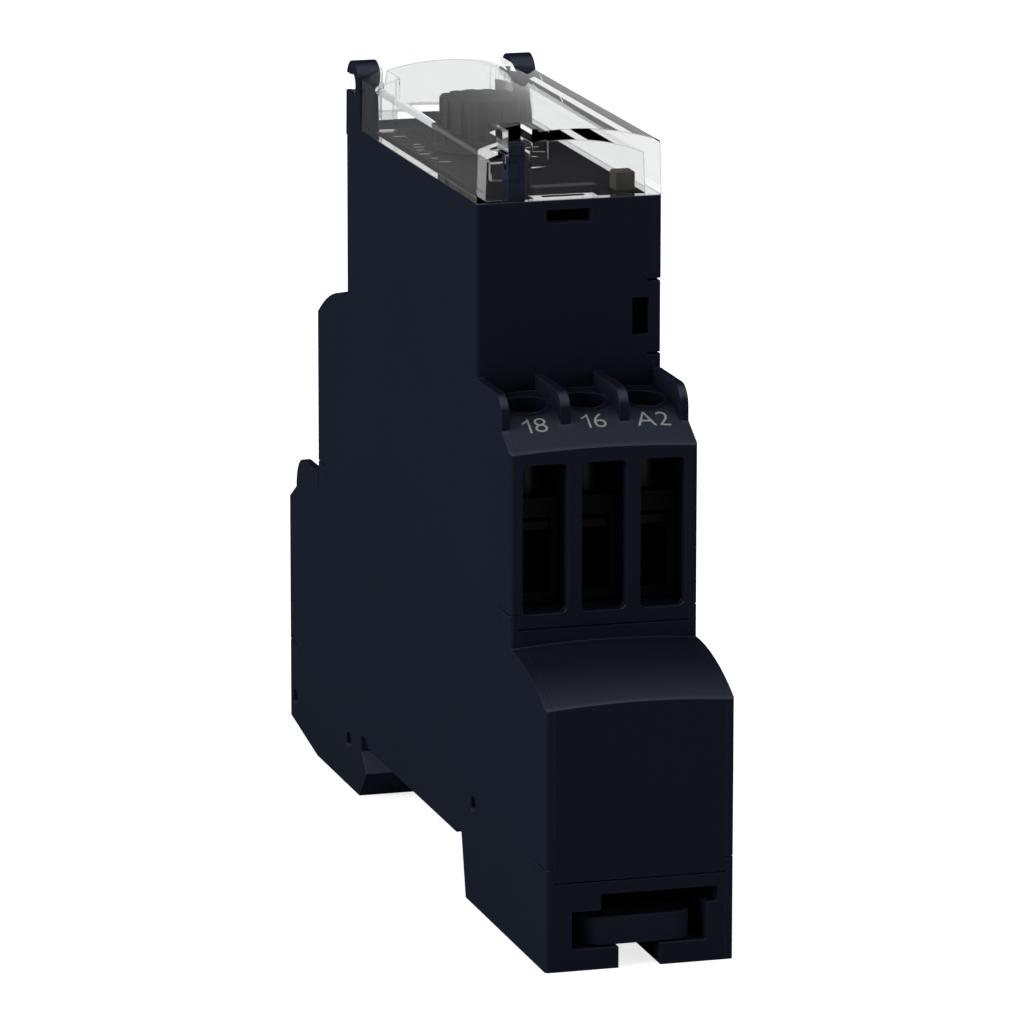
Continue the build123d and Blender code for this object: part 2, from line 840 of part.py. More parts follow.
with BuildPart() as main_board:
    for y_low, y_high, z_low, z_high in (
        (board_low_front, board_rear, board_bottom, board_low_step),
        (board_mid_front, board_rear, board_low_step, board_step),
        (board_front, board_rear, board_step, board_shoulder),
        (board_front, -board_front, board_shoulder, board_top),
    ):
        span_box(board_face, board_face + board_thickness, y_low, y_high, z_low, z_high)
    with BuildSketch(Plane.YZ.offset(board_face)):
        with Locations(pin_places[1]):
            Circle(boss_radius + free_gap)
    extrude(amount=board_thickness, mode=Mode.SUBTRACT)
main_board.part.label = "main_board"
export_step(main_board.part, "parts/main_board.step")


with BuildPart() as front_board:
    span_box(
        -inner_half + joint_gap, inner_half - joint_gap,
        -block_inner + slip, block_inner - slip,
        front_board_level, front_board_top,
    )
front_board.part.label = "front_board"
export_step(front_board.part, "parts/front_board.step")


# Electronic parts soldered to the main board, each placed by (y, z) on its face

with BuildPart() as output_relay:
    y_low, y_high, z_low, z_high = relay_box
    span_box(
        board_face - relay_depth, board_face - relay_base, y_low, y_high, z_low, z_high
    )
    chamfer(output_relay.faces().sort_by(Axis.X)[0].edges(), relay_edge)
    span_box(
        board_face - relay_base, board_face, y_low + relay_edge, y_high - relay_edge,
        z_low + relay_edge, z_high - relay_edge,
    )
output_relay.part.label = "output_relay"
export_step(output_relay.part, "parts/output_relay.step")


with BuildPart() as dropper_capacitor:
    y_low, y_high, z_low, z_high = film_box
    span_box(board_face - film_depth, board_face, y_low, y_high, z_low, z_high)
    chamfer(dropper_capacitor.edges().filter_by(Axis.X), film_edge)
dropper_capacitor.part.label = "dropper_capacitor"
export_step(dropper_capacitor.part, "parts/dropper_capacitor.step")


with BuildPart() as smoothing_capacitor:
    with BuildSketch(Plane.YZ.offset(board_face)):
        with Locations(can_place):
            Circle(can_radius)
    extrude(amount=-can_length)
smoothing_capacitor.part.label = "smoothing_capacitor"
export_step(smoothing_capacitor.part, "parts/smoothing_capacitor.step")


with BuildPart() as surge_varistor:
    disc_x = board_face - disc_radius - lead_width
    with BuildSketch(Plane.XZ.offset(-disc_place[0])):
        with Locations((disc_x, disc_place[1])):
            Circle(disc_radius)
    extrude(amount=disc_thickness / 2, both=True)
    with BuildSketch(Plane.YZ.offset(board_face)):
        for side in (-1, 1):
            with Locations((disc_place[0], disc_place[1] + side * lead_spread / 2)):
                Rectangle(lead_width, lead_width)
    extrude(amount=-disc_radius / 2 - lead_width)
surge_varistor.part.label = "surge_varistor"
export_step(surge_varistor.part, "parts/surge_varistor.step")


with BuildPart() as fuse_resistor:
    resistor_x = board_face - resistor_radius - free_gap
    resistor_y, resistor_z = resistor_place
    with BuildSketch(Plane.XY.offset(resistor_z)):
        with Locations((resistor_x, resistor_y)):
            Circle(resistor_radius)
    extrude(amount=resistor_length / 2, both=True)
    chamfer(fuse_resistor.edges(), resistor_edge)
    lead_reach = resistor_length / 2 + 1.5 * lead_width
    with BuildSketch(Plane.XY.offset(resistor_z)):
        with Locations((resistor_x, resistor_y)):
            Rectangle(lead_width, lead_width)
    extrude(amount=lead_reach, both=True)
    with BuildSketch(Plane.YZ.offset(board_face)):
        for side in (-1, 1):
            with Locations((resistor_y, resistor_z + side * (lead_reach - lead_width / 2))):
                Rectangle(lead_width, lead_width)
    extrude(amount=resistor_x - board_face)
fuse_resistor.part.label = "fuse_resistor"
export_step(fuse_resistor.part, "parts/fuse_resistor.step")


with BuildPart() as control_chip:
    chip_y, chip_z = chip_place
    with Locations((board_face - chip_height / 2 - leg_thickness, chip_y, chip_z)):
        Box(chip_height, chip_size[0], chip_size[1])
    chamfer(control_chip.faces().sort_by(Axis.X)[0].edges(), leg_thickness)
    with Locations((board_face - leg_thickness, chip_y, chip_z)):
        with GridLocations(0, leg_spacing, 1, chip_legs):
            Box(2 * leg_thickness, leg_size[0], chip_size[1] + 2 * leg_size[1])
control_chip.part.label = "control_chip"
export_step(control_chip.part, "parts/control_chip.step")


with BuildPart() as board_header:
    span_box(
        board_face - header_size, board_face,
        -header_pins * header_spacing / 2, header_pins * header_spacing / 2,
        front_board_level - header_size, front_board_level,
    )
    with Locations((board_face - header_pin / 2, 0, front_board_level - 1.5 * header_size)):
        with GridLocations(0, header_spacing, 1, header_pins):
            Box(header_pin, header_pin, header_size + header_pin)
board_header.part.label = "board_header"
export_step(board_header.part, "parts/board_header.step")


# Adjusters on the front board: a potentiometer and two rotary switches
def make_switch_body(name, place, side, height, bore):
    """A square body on the front board with a bore for its turning stem."""
    with BuildPart() as body:
        with BuildSketch(Plane.XY.offset(front_board_top)):
            with Locations(place):
                Rectangle(side, side)
        extrude(amount=height)
        chamfer(body.faces().sort_by(Axis.Z)[-1].edges(), leg_thickness)
        with BuildSketch(Plane.XY.offset(front_board_top + height)):
            with Locations(place):
                Circle(bore)
        extrude(amount=free_gap - height, mode=Mode.SUBTRACT)
    body.part.label = name
    export_step(body.part, f"parts/{name}.step")


def make_selector(name, place):
    """A small selector: a slotted head on a stem that turns in its switch."""
    stem_bottom = front_board_top + 2 * free_gap
    head_bottom = front_board_top + switch_height + free_gap
    with BuildPart() as selector:
        with BuildSketch(Plane.XY.offset(head_bottom)):
            with Locations(place):
                Circle(selector_radius)
        extrude(amount=selector_top - head_bottom)
        with BuildSketch(Plane.XY.offset(stem_bottom)):
            with Locations(place):
                Circle(selector_stem_radius)
        extrude(amount=head_bottom - stem_bottom)
        with BuildSketch(Plane.XY.offset(selector_top)):
            with Locations(place):
                Rectangle(2 * selector_radius, selector_slot_width)
        extrude(amount=-selector_slot_depth, mode=Mode.SUBTRACT)
    selector.part.label = name
    export_step(selector.part, f"parts/{name}.step")


make_switch_body(
    "time_pot_body", knob_place, pot_side, pot_height, stem_radius + stem_play
)
for name, place in zip(("range", "mode"), selector_places):
    make_switch_body(
        f"{name}_switch_body", place, switch_side, switch_height,
        selector_stem_radius + stem_play,
    )
    make_selector(f"{name}_selector", place)


with BuildPart() as time_knob:
    with BuildSketch(Plane.XY.offset(knob_bottom)):
        with Locations(knob_place):
            Circle(knob_radius)
            with PolarLocations(knob_radius, knob_flutes):
                Rectangle(2 * knob_flute_depth, knob_flute_width, mode=Mode.SUBTRACT)
    extrude(amount=knob_top - knob_bottom)
    with BuildSketch(Plane.XY.offset(knob_bottom)):
        with Locations(knob_place):
            Circle(knob_collar_radius)
    extrude(amount=knob_collar_height)
    stem_bottom = front_board_top + 2 * free_gap
    with BuildSketch(Plane.XY.offset(stem_bottom)):
        with Locations(knob_place):
            Circle(stem_radius)
    extrude(amount=knob_bottom - stem_bottom)
    with BuildSketch(Plane.XY.offset(knob_top)):
        with Locations(knob_place):
            Rectangle(2 * knob_radius, selector_slot_width)
    extrude(amount=-selector_slot_depth, mode=Mode.SUBTRACT)
time_knob.part.label = "time_knob"
export_step(time_knob.part, "parts/time_knob.step")


with BuildPart() as status_led:
    with BuildSketch(Plane.XY.offset(front_board_top)):
        with Locations(guide_place):
            Rectangle(*led_size)
    extrude(amount=led_height)
status_led.part.label = "status_led"
export_step(status_led.part, "parts/status_led.step")


# The light guide stands over the LED and is held by its flange
with BuildPart() as light_guide:
    guide_bottom = front_board_top + led_height + free_gap
    with BuildSketch(Plane.XY.offset(guide_bottom)):
        with Locations(guide_place):
            Rectangle(*guide_size)
    extrude(amount=guide_top - guide_bottom)
    with BuildSketch(Plane.XY.offset(fascia_bottom - guide_flange)):
        with Locations(guide_place):
            Rectangle(guide_size[0] + 2 * guide_flange, guide_size[1] + 2 * guide_flange)
    extrude(amount=guide_flange)
    chamfer(light_guide.faces().sort_by(Axis.Z)[-1].edges(), slip)
light_guide.part.label = "light_guide"
export_step(light_guide.part, "parts/light_guide.step")


# The fascia closes the block under the clear cover and stands on four posts
latch_back_y = -block_inner + latch_back
with BuildPart() as fascia:
    span_box(
        -inner_half, inner_half, -block_inner, fascia_end, fascia_bottom, block_top
    )
    with BuildSketch(Plane.XY.offset(front_board_top)):
        with Locations(*fascia_post_places):
            Rectangle(fascia_post_side, fascia_post_side)
    extrude(amount=fascia_bottom - front_board_top)
    with BuildSketch(Plane.XY.offset(block_top)):
        with Locations(knob_place):
            Circle(stem_radius + free_gap)
        with Locations(*selector_places):
            Circle(selector_radius + selector_play)
        with Locations(guide_place):
            Rectangle(guide_size[0] + 2 * stem_play, guide_size[1] + 2 * stem_play)
    extrude(amount=-2 * fascia_thickness, mode=Mode.SUBTRACT)
    span_box(
        seal_post_x - seal_post_width / 2 - slip, seal_post_x + seal_post_width / 2 + slip,
        -far, post_back + slip, fascia_bottom, block_top, mode=Mode.SUBTRACT,
    )
    span_box(
        -latch_width / 2 - free_gap, latch_width / 2 + free_gap,
        -far, latch_back_y + slip, fascia_bottom, block_top, mode=Mode.SUBTRACT,
    )
fascia.part.label = "fascia"
export_step(fascia.part, "parts/fascia.step")


# The clear cover: a crowned box without a floor, hinged between the two posts
neck_half = post_inner - cover_side_gap
cover_length = block_half + cover_rear
shoulder_y = fascia_end


def cover_section(inset):
    """The outline of the cover across its width, moved inwards by an inset."""
    base_x = half_width - cover_inset - inset
    edge_x = base_x - cover_draft
    edge_z = cover_edge_height - inset
    Polyline((-edge_x, edge_z), (-base_x, cover_base), (base_x, cover_base), (edge_x, edge_z))
    ThreePointArc((edge_x, edge_z), (0, cover_crown - inset), (-edge_x, edge_z))


with BuildPart() as clear_cover:
    with BuildSketch(Plane.XZ.offset(block_half)) as outer_section:
        with BuildLine():
            cover_section(0)
        make_face()
        fillet(outer_section.vertices().sort_by(Axis.Y)[-2:], cover_edge_radius)
    extrude(amount=-cover_length)
    for side in (-1, 1):
        x_low, x_high = sorted((side * neck_half, side * module_width))
        with BuildSketch(Plane.YZ.offset(x_low)):
            with Locations((hinge_y, hinge_z)):
                Circle(ear_post_radius + post_clearance)
            with Locations(((shoulder_y + far) / 2, cover_base)):
                Rectangle(far - shoulder_y, 2 * (hinge_z - cover_base))
            with Locations(((hinge_y + far) / 2, hinge_z)):
                Rectangle(far - hinge_y, far)
        extrude(amount=x_high - x_low, mode=Mode.SUBTRACT)
    with BuildSketch(Plane.XZ.offset(block_inner)):
        with BuildLine():
            cover_section(cover_wall)
        make_face()
    extrude(amount=-(block_inner + shoulder_y - cover_wall), mode=Mode.SUBTRACT)
    with BuildSketch(Plane.XZ.offset(-shoulder_y + 2 * cover_wall)):
        with BuildLine():
            cover_section(cover_wall)
        make_face()
        with Locations((0, hinge_z)):
            Rectangle(2 * (neck_half - cover_wall), far, mode=Mode.INTERSECT)
    extrude(amount=-(cover_rear - shoulder_y + cover_wall), mode=Mode.SUBTRACT)
    span_box(
        -module_width, module_width, shoulder_y, far, 0, block_top + cover_rear_rise,
        mode=Mode.SUBTRACT,
    )
    # hinge pins
    for side in (-1, 1):
        with BuildSketch(Plane.YZ.offset(side * (neck_half - slip))):
            with Locations((hinge_y, hinge_z)):
                Circle(hinge_pin_radius)
        extrude(amount=side * (half_width - neck_half))
    # latch tongue under a lug on the front wall
    tongue_front = -block_inner + post_clearance + latch_nose
    span_box(
        -latch_lug_width / 2, latch_lug_width / 2, -block_inner - slip, latch_back_y,
        cover_base, cover_base + latch_lug_height,
    )
    span_box(
        -latch_width / 2, latch_width / 2, tongue_front, tongue_front + latch_thickness,
        cover_base - latch_depth, cover_base + latch_lug_height,
    )
    with BuildSketch(Plane.YZ):
        with BuildLine():
            Polyline(
                (tongue_front, cover_base - latch_depth + 4 * latch_nose),
                (tongue_front - latch_nose, cover_base - latch_depth + 3 * latch_nose),
                (tongue_front, cover_base - latch_depth),
                close=True,
            )
        make_face()
    extrude(amount=latch_width / 2, both=True)
    # the window for a seal wire, the rimmed slot above the post and the tab beside it
    with BuildSketch(Plane.XZ.offset(block_half)):
        with Locations(seal_eye_centre):
            Rectangle(*seal_eye)
    extrude(amount=-end_wall, mode=Mode.SUBTRACT)
    slot_left = seal_post_x - seal_post_width / 2 - free_gap
    slot_right = seal_post_x + seal_post_width / 2 + free_gap
    span_box(
        slot_left - seal_rim, slot_right + seal_rim, -block_half,
        post_back + seal_slot_length + seal_rim,
        cover_edge_height - seal_slot_drop, cover_crown + seal_rim_rise,
    )
    span_box(
        slot_left, slot_right, -far, post_back + seal_slot_length,
        cover_edge_height - seal_slot_drop, far, mode=Mode.SUBTRACT,
    )
    span_box(
        slot_left, slot_right, -block_inner - free_gap, post_back + seal_slot_length,
        cover_base, far, mode=Mode.SUBTRACT,
    )
    span_box(
        slot_right + free_gap, slot_right + free_gap + cover_tab_size[0],
        -block_inner, -block_inner + cover_tab_size[1],
        cover_edge_height - cover_tab_drop, cover_crown - cover_wall,
    )
clear_cover.part.label = "clear_cover"
export_step(clear_cover.part, "parts/clear_cover.step")


# The DIN clip: a moulded slide with a finger tab, two spring leaves and a nose
tab_back = clip_front + clip_tab_length
with BuildPart() as din_clip:
    with BuildSketch(Plane.XY.offset(clip_bottom)) as clip_plan:
        with Locations((0, (clip_front + tab_back) / 2)):
            Rectangle(clip_width, clip_tab_length)
        fillet(clip_plan.vertices().sort_by(Axis.Y)[:2], clip_corner)
        with Locations((0, (tab_back + nose_end) / 2)):
            Rectangle(clip_stem_width, nose_end - tab_back + 2 * slip)
        with Locations((0, stop_y + clip_stop_length / 2)):
            Rectangle(clip_stop_width, clip_stop_length)
    extrude(amount=clip_thickness)
    leaf_y = leaf_end - leaf_radius / 2
    leaf_x = recess_width / 2 - clip_play - leaf_radius - leaf_thickness / 2
    leaf_high = leaf_end - slip
    leaf_low = leaf_y - leaf_radius
    leaf_inner = clip_stem_width / 2 - slip
    leaf_outer = recess_width / 2
    for side in (-1, 1):
        with BuildSketch(Plane.XY.offset(clip_bottom)):
            with Locations((side * leaf_x, leaf_y)):
                Circle(leaf_radius + leaf_thickness / 2)
                Circle(leaf_radius - leaf_thickness / 2, mode=Mode.SUBTRACT)
            with Locations((side * (leaf_inner + leaf_outer) / 2, (leaf_low + leaf_high) / 2)):
                Rectangle(leaf_outer - leaf_inner, leaf_high - leaf_low, mode=Mode.INTERSECT)
        extrude(amount=clip_thickness)
    # the nose slides under the rail's edge and is sloped to ride over it
    nose_top = rail_seat - rail_thickness - slip
    nose_root = -rail_half - clip_nose_reach
    span_box(-clip_width, clip_width, nose_root, far, nose_top, far, mode=Mode.SUBTRACT)
    with BuildSketch(Plane.YZ):
        with BuildLine():
            Polyline(
                (nose_end - clip_nose_reach, clip_bottom),
                (nose_end + slip, clip_bottom),
                (nose_end + slip, clip_bottom + clip_nose_reach),
                close=True,
            )
        make_face()
    extrude(amount=clip_width, both=True, mode=Mode.SUBTRACT)
din_clip.part.label = "din_clip"
export_step(din_clip.part, "parts/din_clip.step")
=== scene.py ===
"""The looks of a narrow DIN rail time relay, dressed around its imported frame."""

import math

import bmesh
import bpy
from bpy.props import FloatProperty, FloatVectorProperty, PointerProperty, StringProperty
from mathutils import Matrix, Vector
from mathutils.bvhtree import BVHTree


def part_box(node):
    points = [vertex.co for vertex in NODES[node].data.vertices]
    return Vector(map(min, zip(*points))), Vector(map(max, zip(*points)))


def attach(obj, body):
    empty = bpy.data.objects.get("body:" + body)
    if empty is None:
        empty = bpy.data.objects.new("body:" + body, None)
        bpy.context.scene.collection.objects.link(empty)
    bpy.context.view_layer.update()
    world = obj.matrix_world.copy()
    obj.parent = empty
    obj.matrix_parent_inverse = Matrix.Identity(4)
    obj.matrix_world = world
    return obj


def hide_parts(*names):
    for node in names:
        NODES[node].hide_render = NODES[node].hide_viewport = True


bl_info = {
    "name": "DIN Rail Relay Finish",
    "version": (1, 0, 0),
    "blender": (4, 5, 0),
    "location": "View3D > Sidebar > Relay",
    "description": "Gives a DIN rail relay its plastics, metals, markings and studio",
    "category": "Object",
}

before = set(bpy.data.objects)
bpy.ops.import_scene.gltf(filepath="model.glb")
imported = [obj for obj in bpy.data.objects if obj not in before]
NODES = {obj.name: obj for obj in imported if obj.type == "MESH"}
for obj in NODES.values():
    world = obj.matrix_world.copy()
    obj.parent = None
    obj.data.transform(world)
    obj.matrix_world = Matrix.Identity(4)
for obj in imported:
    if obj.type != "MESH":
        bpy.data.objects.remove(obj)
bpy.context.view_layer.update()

MM = 0.001
WHITE = (1, 1, 1, 1)

# The two colours and the result of a colour mix node, by socket number
MIX_A, MIX_B, MIX_RESULT = 6, 7, 2

POLES = ("left", "middle", "right")
HOUSING_NODES = (
    "housing",
    "side_cover",
    "front_terminal_block",
    "rear_terminal_block",
    "front_blank_cover",
    "rear_blank_cover",
)


# Settings


class RELAY_PG_plastics(bpy.types.PropertyGroup):
    """Colours and gloss of the moulded pieces."""

    housing: FloatVectorProperty(
        name="Housing", description="Colour of the moulded housing",
        default=(0.0105, 0.0132, 0.0228), subtype="COLOR", size=3, min=0, max=1,
    )
    clip: FloatVectorProperty(
        name="Clip", description="Colour of the DIN clip",
        default=(0.0125, 0.0150, 0.0250), subtype="COLOR", size=3, min=0, max=1,
    )
    fascia: FloatVectorProperty(
        name="Fascia", description="Colour of the plate under the clear cover",
        default=(0.0160, 0.0160, 0.0175), subtype="COLOR", size=3, min=0, max=1,
    )
    knob: FloatVectorProperty(
        name="Knob", description="Colour of the time knob",
        default=(0.015, 0.015, 0.015), subtype="COLOR", size=3, min=0, max=1,
    )
    dial: FloatVectorProperty(
        name="Dials", description="Colour of the two small selectors",
        default=(0.020, 0.020, 0.021), subtype="COLOR", size=3, min=0, max=1,
    )
    # Painted shade: the guide's colour is far darker than milky plastic, standing for the shade
    # it sits in under the cover
    guide: FloatVectorProperty(
        name="Light guide", description="Colour of the milky light guide",
        default=(0.050, 0.048, 0.043), subtype="COLOR", size=3, min=0, max=1,
    )
    marks: FloatVectorProperty(
        name="Marks", description="Colour of the printed numbers and ticks",
        default=(0.42, 0.42, 0.41), subtype="COLOR", size=3, min=0, max=1,
    )
    grain: FloatProperty(
        name="Grain", description="Size of the moulded surface texture",
        default=0.22 * MM, subtype="DISTANCE", unit="LENGTH", min=0.05 * MM,
    )
    grain_depth: FloatProperty(
        name="Grain depth", description="Height of the moulded surface texture",
        default=0.012 * MM, subtype="DISTANCE", unit="LENGTH", min=0, precision=6,
    )
    sheen: FloatProperty(
        name="Sheen", description="Share of the usual reflection that the matt plastic has",
        default=0.0, min=0, max=1,
    )
    # Painted highlight: the next three settings lighten the rounded crests and the edges
    crest: FloatVectorProperty(
        name="Crests", description="Colour of the housing's rubbed crests",
        default=(0.056, 0.064, 0.092), subtype="COLOR", size=3, min=0, max=1,
    )
    crest_reach: FloatProperty(
        name="Crest reach", description="How far the rubbed look spreads at a crest",
        default=0.9 * MM, subtype="DISTANCE", unit="LENGTH", min=0, precision=6,
    )
    edge_highlight: FloatProperty(
        name="Edge tone", description="How much lighter the rubbed edges are",
        default=1.5, min=1, max=4,
    )
    edge_radius: FloatProperty(
        name="Edge radius", description="Rounding seen along the moulded edges",
        default=0.18 * MM, subtype="DISTANCE", unit="LENGTH", min=0, precision=6,
    )


class RELAY_PG_cover(bpy.types.PropertyGroup):
    """The clear cover's surface."""

    tint: FloatVectorProperty(
        name="Tint", description="Colour of the clear plastic",
        default=(0.79, 0.795, 0.795), subtype="COLOR", size=3, min=0, max=1,
    )
    # Painted shade: this colour darkens the cover where it turns edge on and along its edges
    outline: FloatVectorProperty(
        name="Outline", description="Colour of the clear plastic where it turns edge on",
        default=(0.12, 0.122, 0.125), subtype="COLOR", size=3, min=0, max=1,
    )
    roughness: FloatProperty(
        name="Roughness", description="Roughness of the polished cover",
        default=0.0, min=0, max=1,
    )
    rim: FloatProperty(
        name="Rim width", description="Width of the darker line along an edge",
        default=0.22 * MM, subtype="DISTANCE", unit="LENGTH", min=0, precision=6,
    )
    bend: FloatProperty(
        name="Refraction", description="Index of refraction of the clear plastic",
        default=1.035, min=1, max=2,
    )
    flow_mark: FloatProperty(
        name="Flow marks", description="Height of the faint moulding waves in the cover",
        default=0.001 * MM, subtype="DISTANCE", unit="LENGTH", min=0, precision=6,
    )
    edge: FloatProperty(
        name="Edge", description="Rounding of the cover's edges",
        default=0.12 * MM, subtype="DISTANCE", unit="LENGTH", min=0, precision=6,
    )


class RELAY_PG_marks(bpy.types.PropertyGroup):
    """Printed numbers and ticks."""

    front_text: StringProperty(
        name="Front terminals", description="Numbers at the front, left to right",
        default="18 16 A2",
    )
    rear_text: StringProperty(
        name="Rear terminals", description="Numbers at the rear, left to right",
        default="B1 15 A1",
    )
    text_height: FloatProperty(
        name="Text height", description="Height of a terminal number",
        default=1.88 * MM, subtype="DISTANCE", unit="LENGTH", min=0,
    )
    text_shift: FloatProperty(
        name="Text shift", description="How far a number stands left of its pole",
        default=0.1 * MM, subtype="DISTANCE", unit="LENGTH",
    )
    ink: FloatProperty(
        name="Ink", description="How far the print stands off the plastic",
        default=0.015 * MM, subtype="DISTANCE", unit="LENGTH", min=0, precision=6,
    )
    tick_length: FloatProperty(
        name="Tick length", description="Length of a scale tick on the fascia",
        default=1.3 * MM, subtype="DISTANCE", unit="LENGTH", min=0,
    )
    tick_width: FloatProperty(
        name="Tick width", description="Width of a scale tick on the fascia",
        default=0.24 * MM, subtype="DISTANCE", unit="LENGTH", min=0,
    )


class RELAY_PG_studio(bpy.types.PropertyGroup):
    """Camera and lamps."""

    azimuth: FloatProperty(
        name="Azimuth", description="Turn of the camera about the vertical",
        default=math.radians(-16.2), subtype="ANGLE", unit="ROTATION",
    )
    elevation: FloatProperty(
        name="Elevation", description="How far the camera looks down",
        default=math.radians(12.87), subtype="ANGLE", unit="ROTATION",
    )
    roll: FloatProperty(
        name="Roll", description="Turn of the camera about its own axis",
        default=math.radians(0.054), subtype="ANGLE", unit="ROTATION",
    )
    distance: FloatProperty(
        name="Distance", description="From the camera to the point it looks at",
        default=712.01 * MM, subtype="DISTANCE", unit="LENGTH", min=0,
    )
    aim: FloatVectorProperty(
        name="Aim", description="The point that the camera looks at",
        default=(0.611 * MM, -2.022 * MM, 32.047 * MM), subtype="XYZ", size=3,
    )
    lens: FloatProperty(
        name="Lens", description="Focal length of the camera",
        default=267.64, unit="CAMERA", min=1,
    )
    key: FloatProperty(
        name="Key", description="Power of the large lamp at the left",
        default=6.6, subtype="POWER", unit="POWER", min=0,
    )
    top: FloatProperty(
        name="Top", description="Power of the lamp overhead",
        default=1.3, subtype="POWER", unit="POWER", min=0,
    )
    fill: FloatProperty(
        name="Fill", description="Power of the weak lamp at the right",
        default=2.0, subtype="POWER", unit="POWER", min=0,
    )
    back: FloatProperty(
        name="Back", description="Power of the lamp behind the object",
        default=2.0, subtype="POWER", unit="POWER", min=0,
    )
    ambient: FloatProperty(
        name="Ambient", description="Strength of the world's light on the object",
        default=0.12, min=0,
    )


# Node and mesh helpers


def new_group(name, inputs, outputs):
    """A shader node group with named sockets, given as (name, kind, default)."""
    group = bpy.data.node_groups.new(name, "ShaderNodeTree")
    for label, kind, default in inputs:
        socket = group.interface.new_socket(name=label, in_out="INPUT", socket_type=kind)
        socket.default_value = default
    for label, kind in outputs:
        group.interface.new_socket(name=label, in_out="OUTPUT", socket_type=kind)
    return group


def add_node(tree, kind, values=None, **settings):
    """A node with its settings and the default values of some inputs."""
    node = tree.nodes.new(kind)
    for name, value in settings.items():
        setattr(node, name, value)
    for name, value in (values or {}).items():
        node.inputs[name].default_value = value
    return node


def link(tree, source, output, target, socket):
    """Links one node's output to another's input, each by name or number."""
    tree.links.new(source.outputs[output], target.inputs[socket])


def moulded_group():
    """The fine texture of moulded plastic, with a soft change of tone over it and painted
    highlights on its edges and crests.
    """
    name = "Moulded Surface"
    if name in bpy.data.node_groups:
        return bpy.data.node_groups[name]
    group = new_group(
        name,
        [
            ("Colour", "NodeSocketColor", (0.02, 0.02, 0.03, 1)),
            ("Tone Change", "NodeSocketFloat", 0.08),
            ("Roughness", "NodeSocketFloat", 0.5),
            ("Roughness Change", "NodeSocketFloat", 0.08),
            ("Grain Scale", "NodeSocketFloat", 4500.0),
            ("Edge Colour", "NodeSocketColor", (0.02, 0.02, 0.03, 1)),
            ("Soft Normal", "NodeSocketVector", (0.0, 0.0, 1.0)),
            ("Crest Colour", "NodeSocketColor", (0.02, 0.02, 0.03, 1)),
            ("Crest Normal", "NodeSocketVector", (0.0, 0.0, 1.0)),
        ],
        [
            ("Colour", "NodeSocketColor"),
            ("Roughness", "NodeSocketFloat"),
            ("Height", "NodeSocketFloat"),
        ],
    )
    ends = add_node(group, "NodeGroupInput")
    out = add_node(group, "NodeGroupOutput")
    place = add_node(group, "ShaderNodeTexCoord")
    fine = add_node(group, "ShaderNodeTexNoise", {"Detail": 3.0, "Roughness": 0.6})
    broad = add_node(group, "ShaderNodeTexNoise", {"Scale": 55.0, "Detail": 3.0})
    link(group, place, "Object", fine, "Vector")
    link(group, place, "Object", broad, "Vector")
    link(group, ends, "Grain Scale", fine, "Scale")
    swing = add_node(group, "ShaderNodeMapRange", {"To Min": -1.0, "To Max": 1.0})
    link(group, broad, "Fac", swing, "Value")
    tone = add_node(group, "ShaderNodeMath", {2: 1.0}, operation="MULTIPLY_ADD")
    link(group, swing, "Result", tone, 0)
    link(group, ends, "Tone Change", tone, 1)
    shade = add_node(group, "ShaderNodeVectorMath", operation="SCALE")
    link(group, ends, "Colour", shade, 0)
    link(group, tone, "Value", shade, "Scale")
    # Edges: where the rounded normal departs from the face's own, a painted highlight lightens
    # the colour
    flat = add_node(group, "ShaderNodeNewGeometry")
    lean = add_node(group, "ShaderNodeVectorMath", operation="DOT_PRODUCT")
    link(group, flat, "Normal", lean, 0)
    link(group, ends, "Soft Normal", lean, 1)
    rim = add_node(
        group, "ShaderNodeMapRange",
        {"From Min": 0.998, "From Max": 0.9, "To Min": 0.0, "To Max": 1.0},
    )
    link(group, lean, "Value", rim, "Value")
    highlighted = add_node(group, "ShaderNodeMix", data_type="RGBA")
    link(group, rim, "Result", highlighted, "Factor")
    link(group, shade, "Vector", highlighted, MIX_A)
    link(group, ends, "Edge Colour", highlighted, MIX_B)
    # Crests: where the rounded normal leans along the relay and the face looks up, a painted
    # highlight lightens the colour
    broad_lean = add_node(group, "ShaderNodeSeparateXYZ")
    link(group, ends, "Crest Normal", broad_lean, "Vector")
    lean_share = add_node(group, "ShaderNodeMath", operation="DIVIDE")
    link(group, broad_lean, "Y", lean_share, 0)
    link(group, broad_lean, "Z", lean_share, 1)
    steepness = add_node(group, "ShaderNodeMath", operation="ABSOLUTE")
    link(group, lean_share, "Value", steepness, 0)
    slope = add_node(
        group, "ShaderNodeMapRange",
        {"From Min": 0.2, "From Max": 0.85}, interpolation_type="SMOOTHSTEP",
    )
    link(group, steepness, "Value", slope, "Value")
    own_lean = add_node(group, "ShaderNodeSeparateXYZ")
    link(group, flat, "Normal", own_lean, "Vector")
    upward = add_node(group, "ShaderNodeMapRange", {"From Min": 0.35, "From Max": 0.6})
    link(group, own_lean, "Z", upward, "Value")
    crest = add_node(group, "ShaderNodeMath", operation="MULTIPLY")
    link(group, slope, "Result", crest, 0)
    link(group, upward, "Result", crest, 1)
    # Painted highlight: the crest mask mixes in the lighter crest colour
    polished = add_node(group, "ShaderNodeMix", data_type="RGBA")
    link(group, crest, "Value", polished, "Factor")
    link(group, highlighted, MIX_RESULT, polished, MIX_A)
    link(group, ends, "Crest Colour", polished, MIX_B)
    link(group, polished, MIX_RESULT, out, "Colour")
    rough_swing = add_node(group, "ShaderNodeMapRange", {"To Min": -1.0, "To Max": 1.0})
    link(group, fine, "Fac", rough_swing, "Value")
    rough = add_node(group, "ShaderNodeMath", operation="MULTIPLY_ADD", use_clamp=True)
    link(group, rough_swing, "Result", rough, 0)
    link(group, ends, "Roughness Change", rough, 1)
    link(group, ends, "Roughness", rough, 2)
    link(group, rough, "Value", out, "Roughness")
    link(group, fine, "Fac", out, "Height")
    return group


